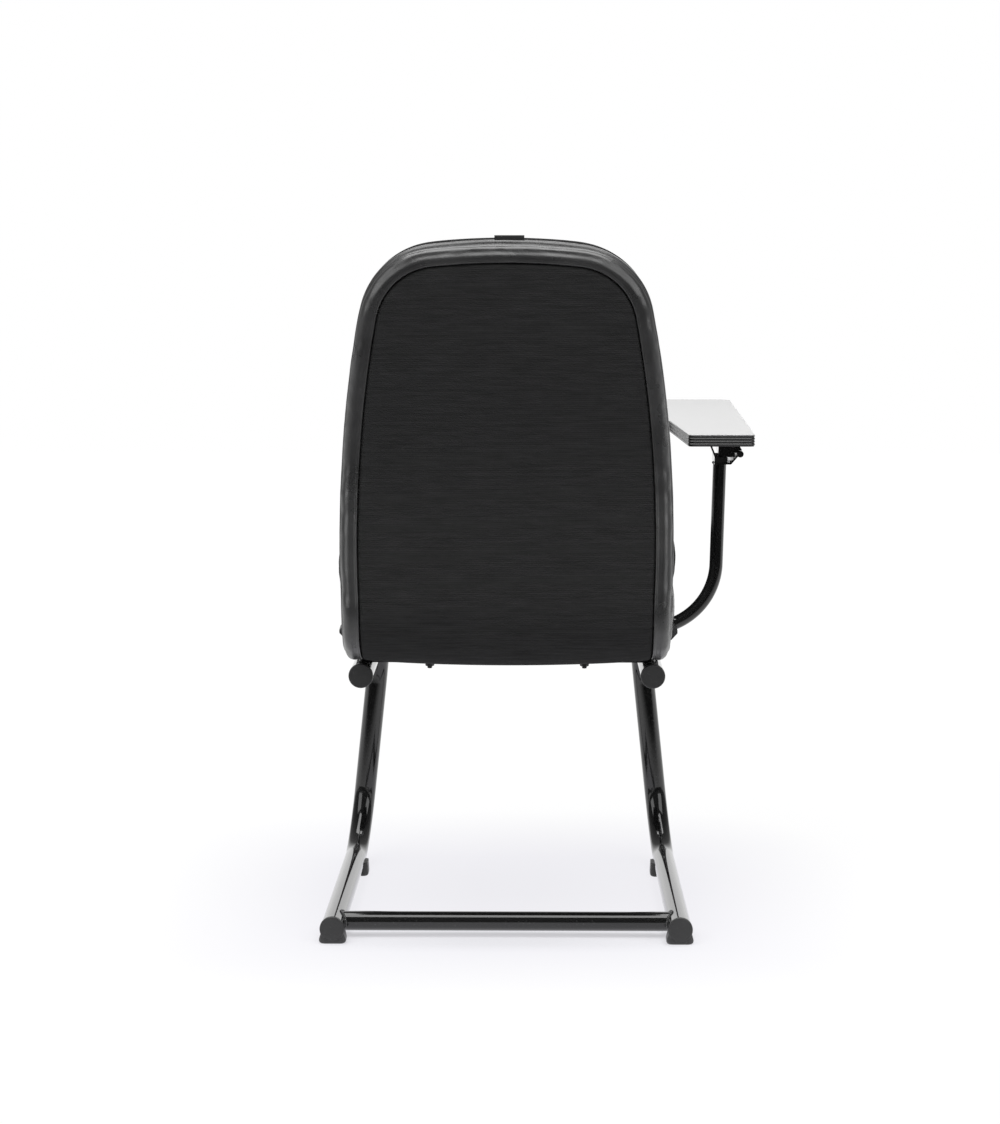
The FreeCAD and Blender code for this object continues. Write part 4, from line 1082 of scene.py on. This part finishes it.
def bead_tree():
    """A weld bead: overlapping drops along a line, each a little different."""
    tree, ins, outs = geometry_tree("weld_bead", [
        ("Pitch", FLOAT, 0.0016), ("Radius", FLOAT, 0.0022), ("Seed", "NodeSocketInt", 1)])
    curve = result(tree, "GeometryNodeMeshToCurve", {"Mesh": ins["Geometry"]})
    spacing = {"Curve": curve, "Length": ins["Pitch"]}
    even = result(tree, "GeometryNodeResampleCurve", spacing, mode="LENGTH")
    drop = result(tree, "GeometryNodeMeshIcoSphere", {"Radius": ins["Radius"], "Subdivisions": 2})
    size = node(tree, "FunctionNodeRandomValue", {"Seed": ins["Seed"]}, data_type="FLOAT")
    size.inputs[2].default_value = WELD_DROP_SIZES[0]
    size.inputs[3].default_value = WELD_DROP_SIZES[1]
    links = {"Points": even, "Instance": drop, "Scale": size.outputs[1]}
    return shown(tree, ins, outs, result(tree, "GeometryNodeInstanceOnPoints", links))


def edging_tree():
    """The tablet's edging: a strip along the board's outline with ribs along its outer side."""
    tree, ins, outs = geometry_tree("ribbed_edging", [
        ("Thickness", FLOAT, 0.0025), ("Height", FLOAT, 0.015), ("Ribs", FLOAT, 5.0),
        ("Rib Depth", FLOAT, 0.0003), ("Corner", FLOAT, 0.0008)])
    thickness = ins["Thickness"]
    height = ins["Height"]
    curve = result(tree, "GeometryNodeMeshToCurve", {"Mesh": ins["Geometry"]})
    upright = result(tree, "GeometryNodeSetCurveNormal", {0: curve}, mode="Z_UP")
    box = result(tree, "GeometryNodeCurvePrimitiveQuadrilateral", {"Width": thickness, "Height": height})
    corners = {"Curve": box, "Radius": ins["Corner"]}
    eased = result(tree, "GeometryNodeFilletCurve", corners, mode="BEZIER")
    spacing = {"Curve": eased, "Count": EDGING_SECTION_POINTS}
    fine = result(tree, "GeometryNodeResampleCurve", spacing, mode="COUNT")
    axes = node(tree, "ShaderNodeSeparateXYZ", {0: result(tree, "GeometryNodeInputPosition")})
    turns = maths(tree, "DIVIDE", maths(tree, "MULTIPLY", axes.outputs["Y"], ins["Ribs"]), height)
    wave = maths(tree, "SINE", maths(tree, "MULTIPLY", turns, math.tau))
    outer = maths(tree, "MULTIPLY", thickness, EDGING_OUTER_SHARE)
    outside = maths(tree, "GREATER_THAN", axes.outputs["X"], outer)
    rib = maths(tree, "MULTIPLY", maths(tree, "MULTIPLY", wave, ins["Rib Depth"]), outside)
    move = result(tree, "ShaderNodeCombineXYZ", {"X": rib})
    ribbed = result(tree, "GeometryNodeSetPosition", {"Geometry": fine, "Offset": move})
    links = {"Curve": upright, "Profile Curve": ribbed}
    return shown(tree, ins, outs, result(tree, "GeometryNodeCurveToMesh", links))


def line_object(name, paths, closed=False):
    """Lines of bare edges for a tree to work on."""
    points = []
    edges = []
    for path in paths:
        first = len(points)
        points += [tuple(p) for p in path]
        edges += [(first + i, first + i + 1) for i in range(len(path) - 1)]
        if closed:
            edges.append((first + len(path) - 1, first))
    mesh = bpy.data.meshes.new(name)
    mesh.from_pydata(points, edges, [])
    return added(name, mesh)


TUBE_RADIUS = 0.015
CROSSBAR_RADIUS = 0.0125
CROSSBAR_Y = 0.170
RUNNER_Z = 0.0195
RUNNER_HALF = 0.221
RUNNER_END_Y = 0.214
RUNNER_TOE = 0.5
UPPER_TUBE_PITCH = 2.0
UPPER_END_Y = 0.127
UPPER_END_Z = 0.3322
ARM_TOP = (-0.285, -0.0920, 0.5894)
ARM_RADIUS = 0.009
WELD_LIFT = 0.0004
SADDLE_POINTS = 41
ARM_WELD_POINTS = 33
STRAP_WELD_SPAN = (-0.010, 0.004)
STRAP_WELD_POINTS = 10

# Where beads lie across the upper tubes: the tube's middle and the bead's place along it
STRAP_WELDS = ((0.18713, 0.0895), (0.18713, 0.1175), (0.18494, -0.0814), (0.18494, -0.0529),
               (0.18325, -0.2233), (0.18325, -0.1953))


def saddle(side):
    """The line where the crossbar meets a runner."""
    radius = CROSSBAR_RADIUS + WELD_LIFT
    toe = math.tan(math.radians(RUNNER_TOE))
    rows = []
    for angle in np.linspace(0, math.tau, SADDLE_POINTS):
        y = CROSSBAR_Y + radius * math.cos(angle)
        rise = radius * math.sin(angle)
        runner_x = RUNNER_HALF - toe * (RUNNER_END_Y - y)
        x = runner_x - math.sqrt(TUBE_RADIUS ** 2 - rise ** 2) - WELD_LIFT
        rows.append((side * x, y, RUNNER_Z + rise))
    return rows


def strap_weld(side, axis_x, y):
    """A short bead over an upper tube, along the edge of a member that lies on it."""
    axis_z = UPPER_END_Z + (UPPER_END_Y - y) * math.tan(math.radians(UPPER_TUBE_PITCH))
    reach = np.linspace(*STRAP_WELD_SPAN, STRAP_WELD_POINTS)
    return [(side * (axis_x + x), y, axis_z + math.sqrt(TUBE_RADIUS ** 2 - x ** 2)) for x in reach]


def arm_weld():
    """The ring where the arm's top meets the hinge bracket."""
    x, y, z = ARM_TOP
    radius = ARM_RADIUS + WELD_LIFT
    turn = np.linspace(0, math.tau, ARM_WELD_POINTS)
    return [(x + radius * math.cos(angle), y + radius * math.sin(angle), z) for angle in turn]


weld_lines = [saddle(side) for side in (1, -1)]
weld_lines += [strap_weld(side, x, y) for x, y in STRAP_WELDS for side in (1, -1)]
weld_lines.append(arm_weld())
welds = grown(line_object("frame_welds", weld_lines), bead_tree(), Pitch=0.0017, Radius=0.0019, Seed=4,
              Material=WELD_LOOK)
finished(welds, "frame_paint", look=WELD_LOOK)

# The tablet's outline beside its hinge: x, y and corner radius
TABLET_CORNERS = ((-0.0185, 0.042, 0.005), (-0.0135, -0.438, 0.018), (0.2595, -0.438, 0.040),
                  (0.2595, -0.208, 0.050), (0.0945, -0.208, 0.080), (0.0695, 0.042, 0.005))
HINGE_PLACE = (-0.310, -0.091964, 0.604)
TABLET_PITCH = 2.3
TABLET_RISE = 0.0113
EDGING_HEIGHT = 0.015
EDGING_THICKNESS = 0.0025
EDGING_RIBS = 4.0
EDGING_RIB_DEPTH = 0.0005


def tablet_strip():
    """The ribbed edging round the tablet, made flat and then set on the hinge."""
    corners = rounded_path(TABLET_CORNERS, SHELL_STEP, closed=True)
    outline = resampled(corners, OUTLINE_STEP, closed=True)
    middle = outline - right_of(outline, closed=True) * EDGING_THICKNESS / 2
    line = line_object("tablet_strip", [[(x, y, 0.0) for x, y in middle]], closed=True)
    strip = grown(line, edging_tree(), Thickness=EDGING_THICKNESS, Height=EDGING_HEIGHT, Ribs=EDGING_RIBS,
                  Material=LOOKS["black_edging"], **{"Rib Depth": EDGING_RIB_DEPTH})
    lift = Matrix.Translation((0, 0, TABLET_RISE + EDGING_HEIGHT / 2))
    tilt = Matrix.Rotation(-math.radians(TABLET_PITCH), 4, "X")
    strip.data.transform(Matrix.Translation(HINGE_PLACE) @ tilt @ lift)
    return strip


finished(tablet_strip(), "black_edging", "tablet_edging", body="tablet")


# Finishes of the solids

for part in frame["record"]["subparts"]:
    covered(frame["nodes"][part["node"]].data, LOOKS[part["material_slot"]])


# Studio

WHITE = (1, 1, 1, 1)
FLOOR_SIZE = 16
FLOOR_PAINT = (0.80, 0.80, 0.83, 1)
# The bluish colour of the painted shade round the chair
FLOOR_PAINTED_SHADE_TINT = (0.966, 0.960, 1, 1)
# The painted shade patch: how square it is, and how far it reaches to the front as a share of its rear reach
PATCH_SQUARENESS = 4.0
PATCH_FRONT_SHARE = -0.75
BAR_SHADOW_Y = 0.190
LAMP_AIM = Vector((0.0, 0.0, 0.5))
# Lamps: name, place, size and power
LAMPS = (
    ("overhead", (0.0, 0.35, 2.7), 2.7, 95.0),
    ("left_fill", (2.6, 2.2, 1.6), 2.4, 36.0),
    ("right_fill", (-2.6, 2.2, 1.6), 2.4, 36.0),
)


def photo_camera(scene):
    camera = added("camera", bpy.data.cameras.new("camera"))
    camera.location = CAMERA_PLACE
    camera.rotation_euler = (math.radians(90 - CAMERA_PITCH), 0, math.radians(180 + CAMERA_YAW))
    camera.data.lens = CAMERA_LENS
    camera.data.sensor_width = CAMERA_SENSOR
    camera.data.sensor_fit = "AUTO"
    scene.camera = camera


def white_room(scene):
    """White where the camera looks; to the chair itself, bright ahead of it and dim elsewhere."""
    world = bpy.data.worlds.new("studio")
    scene.world = world
    world.use_nodes = True
    tree = world.node_tree
    tree.nodes.clear()
    path = node(tree, "ShaderNodeLightPath")
    seen = maths(tree, "MAXIMUM", path.outputs["Is Camera Ray"], path.outputs["Is Transmission Ray"])
    heading = node(tree, "ShaderNodeTexCoord").outputs["Generated"]
    along = node(tree, "ShaderNodeSeparateXYZ", {0: heading}).outputs["Y"]
    ahead = between(tree, along, low=-0.95, high=-0.72, start=1.15, end=0.10)
    behind = between(tree, along, low=-0.60, high=0.50, start=0.30, end=0.05)
    light = maths(tree, "MAXIMUM", ahead, behind)
    around = result(tree, "ShaderNodeBackground", {"Color": WHITE, "Strength": light})
    white = result(tree, "ShaderNodeBackground", {"Color": WHITE, "Strength": 1.0})
    mix = result(tree, "ShaderNodeMixShader", {0: seen, 1: around, 2: white})
    node(tree, "ShaderNodeOutputWorld", {"Surface": mix})


def floor_look():
    """A patch of painted shade round the chair, dimmer and bluer, that fades to white, and lets some real
    shadow through.
    """
    look = bpy.data.materials.new("studio_floor")
    look.use_nodes = True
    tree = look.node_tree
    tree.nodes.clear()
    path = node(tree, "ShaderNodeLightPath")
    camera_ray = path.outputs["Is Camera Ray"]
    reflected = maths(tree, "MAXIMUM", path.outputs["Is Glossy Ray"], path.outputs["Is Transmission Ray"])
    seen = maths(tree, "MAXIMUM", camera_ray, reflected)
    axes = node(tree, "ShaderNodeSeparateXYZ", {0: node(tree, "ShaderNodeTexCoord").outputs["Object"]})
    rearward = axes.outputs["Y"]
    aside = maths(tree, "ABSOLUTE", axes.outputs["X"])
    beside = maths(tree, "POWER", aside, PATCH_SQUARENESS)
    forward = maths(tree, "MULTIPLY", rearward, PATCH_FRONT_SHARE)
    along = maths(tree, "POWER", maths(tree, "MAXIMUM", rearward, forward), PATCH_SQUARENESS)
    away = maths(tree, "POWER", maths(tree, "ADD", beside, along), 1 / PATCH_SQUARENESS)
    paint = result(tree, "ShaderNodeBsdfDiffuse", {"Color": FLOOR_PAINT})
    dimmed = between(tree, rearward, low=0.25, high=1.1, start=1.04, end=0.03)
    # Painted shade: to the camera the floor's glow is dimmer and bluer round the chair, fading to white
    # further out
    painted_shade_level = between(tree, away, low=0.24, high=0.50, start=0.96, end=1.02)
    strength = maths(tree, "MULTIPLY_ADD", camera_ray, maths(tree, "SUBTRACT", painted_shade_level, dimmed), dimmed)
    painted_shade_tint = mixed(tree, between(tree, away, low=0.24, high=0.50), FLOOR_PAINTED_SHADE_TINT, WHITE)
    glow = result(tree, "ShaderNodeEmission", {"Color": painted_shade_tint, "Strength": strength})
    from_bar = maths(tree, "ABSOLUTE", maths(tree, "SUBTRACT", rearward, BAR_SHADOW_Y))
    near_bar = between(tree, from_bar, low=0.03, high=0.07, start=0.34, end=0.0)
    between_feet = between(tree, aside, low=0.22, high=0.27, start=1.0, end=0.0)
    open_share = between(tree, away, low=0.40, high=1.00, start=0.88, end=1.0)
    share = maths(tree, "SUBTRACT", open_share, maths(tree, "MULTIPLY", near_bar, between_feet))
    share = maths(tree, "MULTIPLY", seen, maths(tree, "MAXIMUM", share, reflected))
    mix = result(tree, "ShaderNodeMixShader", {0: share, 1: paint, 2: glow})
    node(tree, "ShaderNodeOutputMaterial", {"Surface": mix})
    return look


def studio_floor():
    bpy.ops.mesh.primitive_plane_add(size=FLOOR_SIZE, location=(0, 0, 0))
    floor = bpy.context.object
    floor.name = "studio_floor"
    floor.data.materials.append(floor_look())


def lamps():
    for name, place, size, power in LAMPS:
        lamp = bpy.data.lights.new(name, "AREA")
        lamp.shape = "SQUARE"
        lamp.size = size
        lamp.energy = power
        holder = added(name, lamp)
        holder.location = place
        holder.rotation_euler = (LAMP_AIM - Vector(place)).to_track_quat("-Z", "Y").to_euler()


scene = bpy.context.scene
scene.view_settings.view_transform = "Standard"
photo_camera(scene)
white_room(scene)
studio_floor()
lamps()
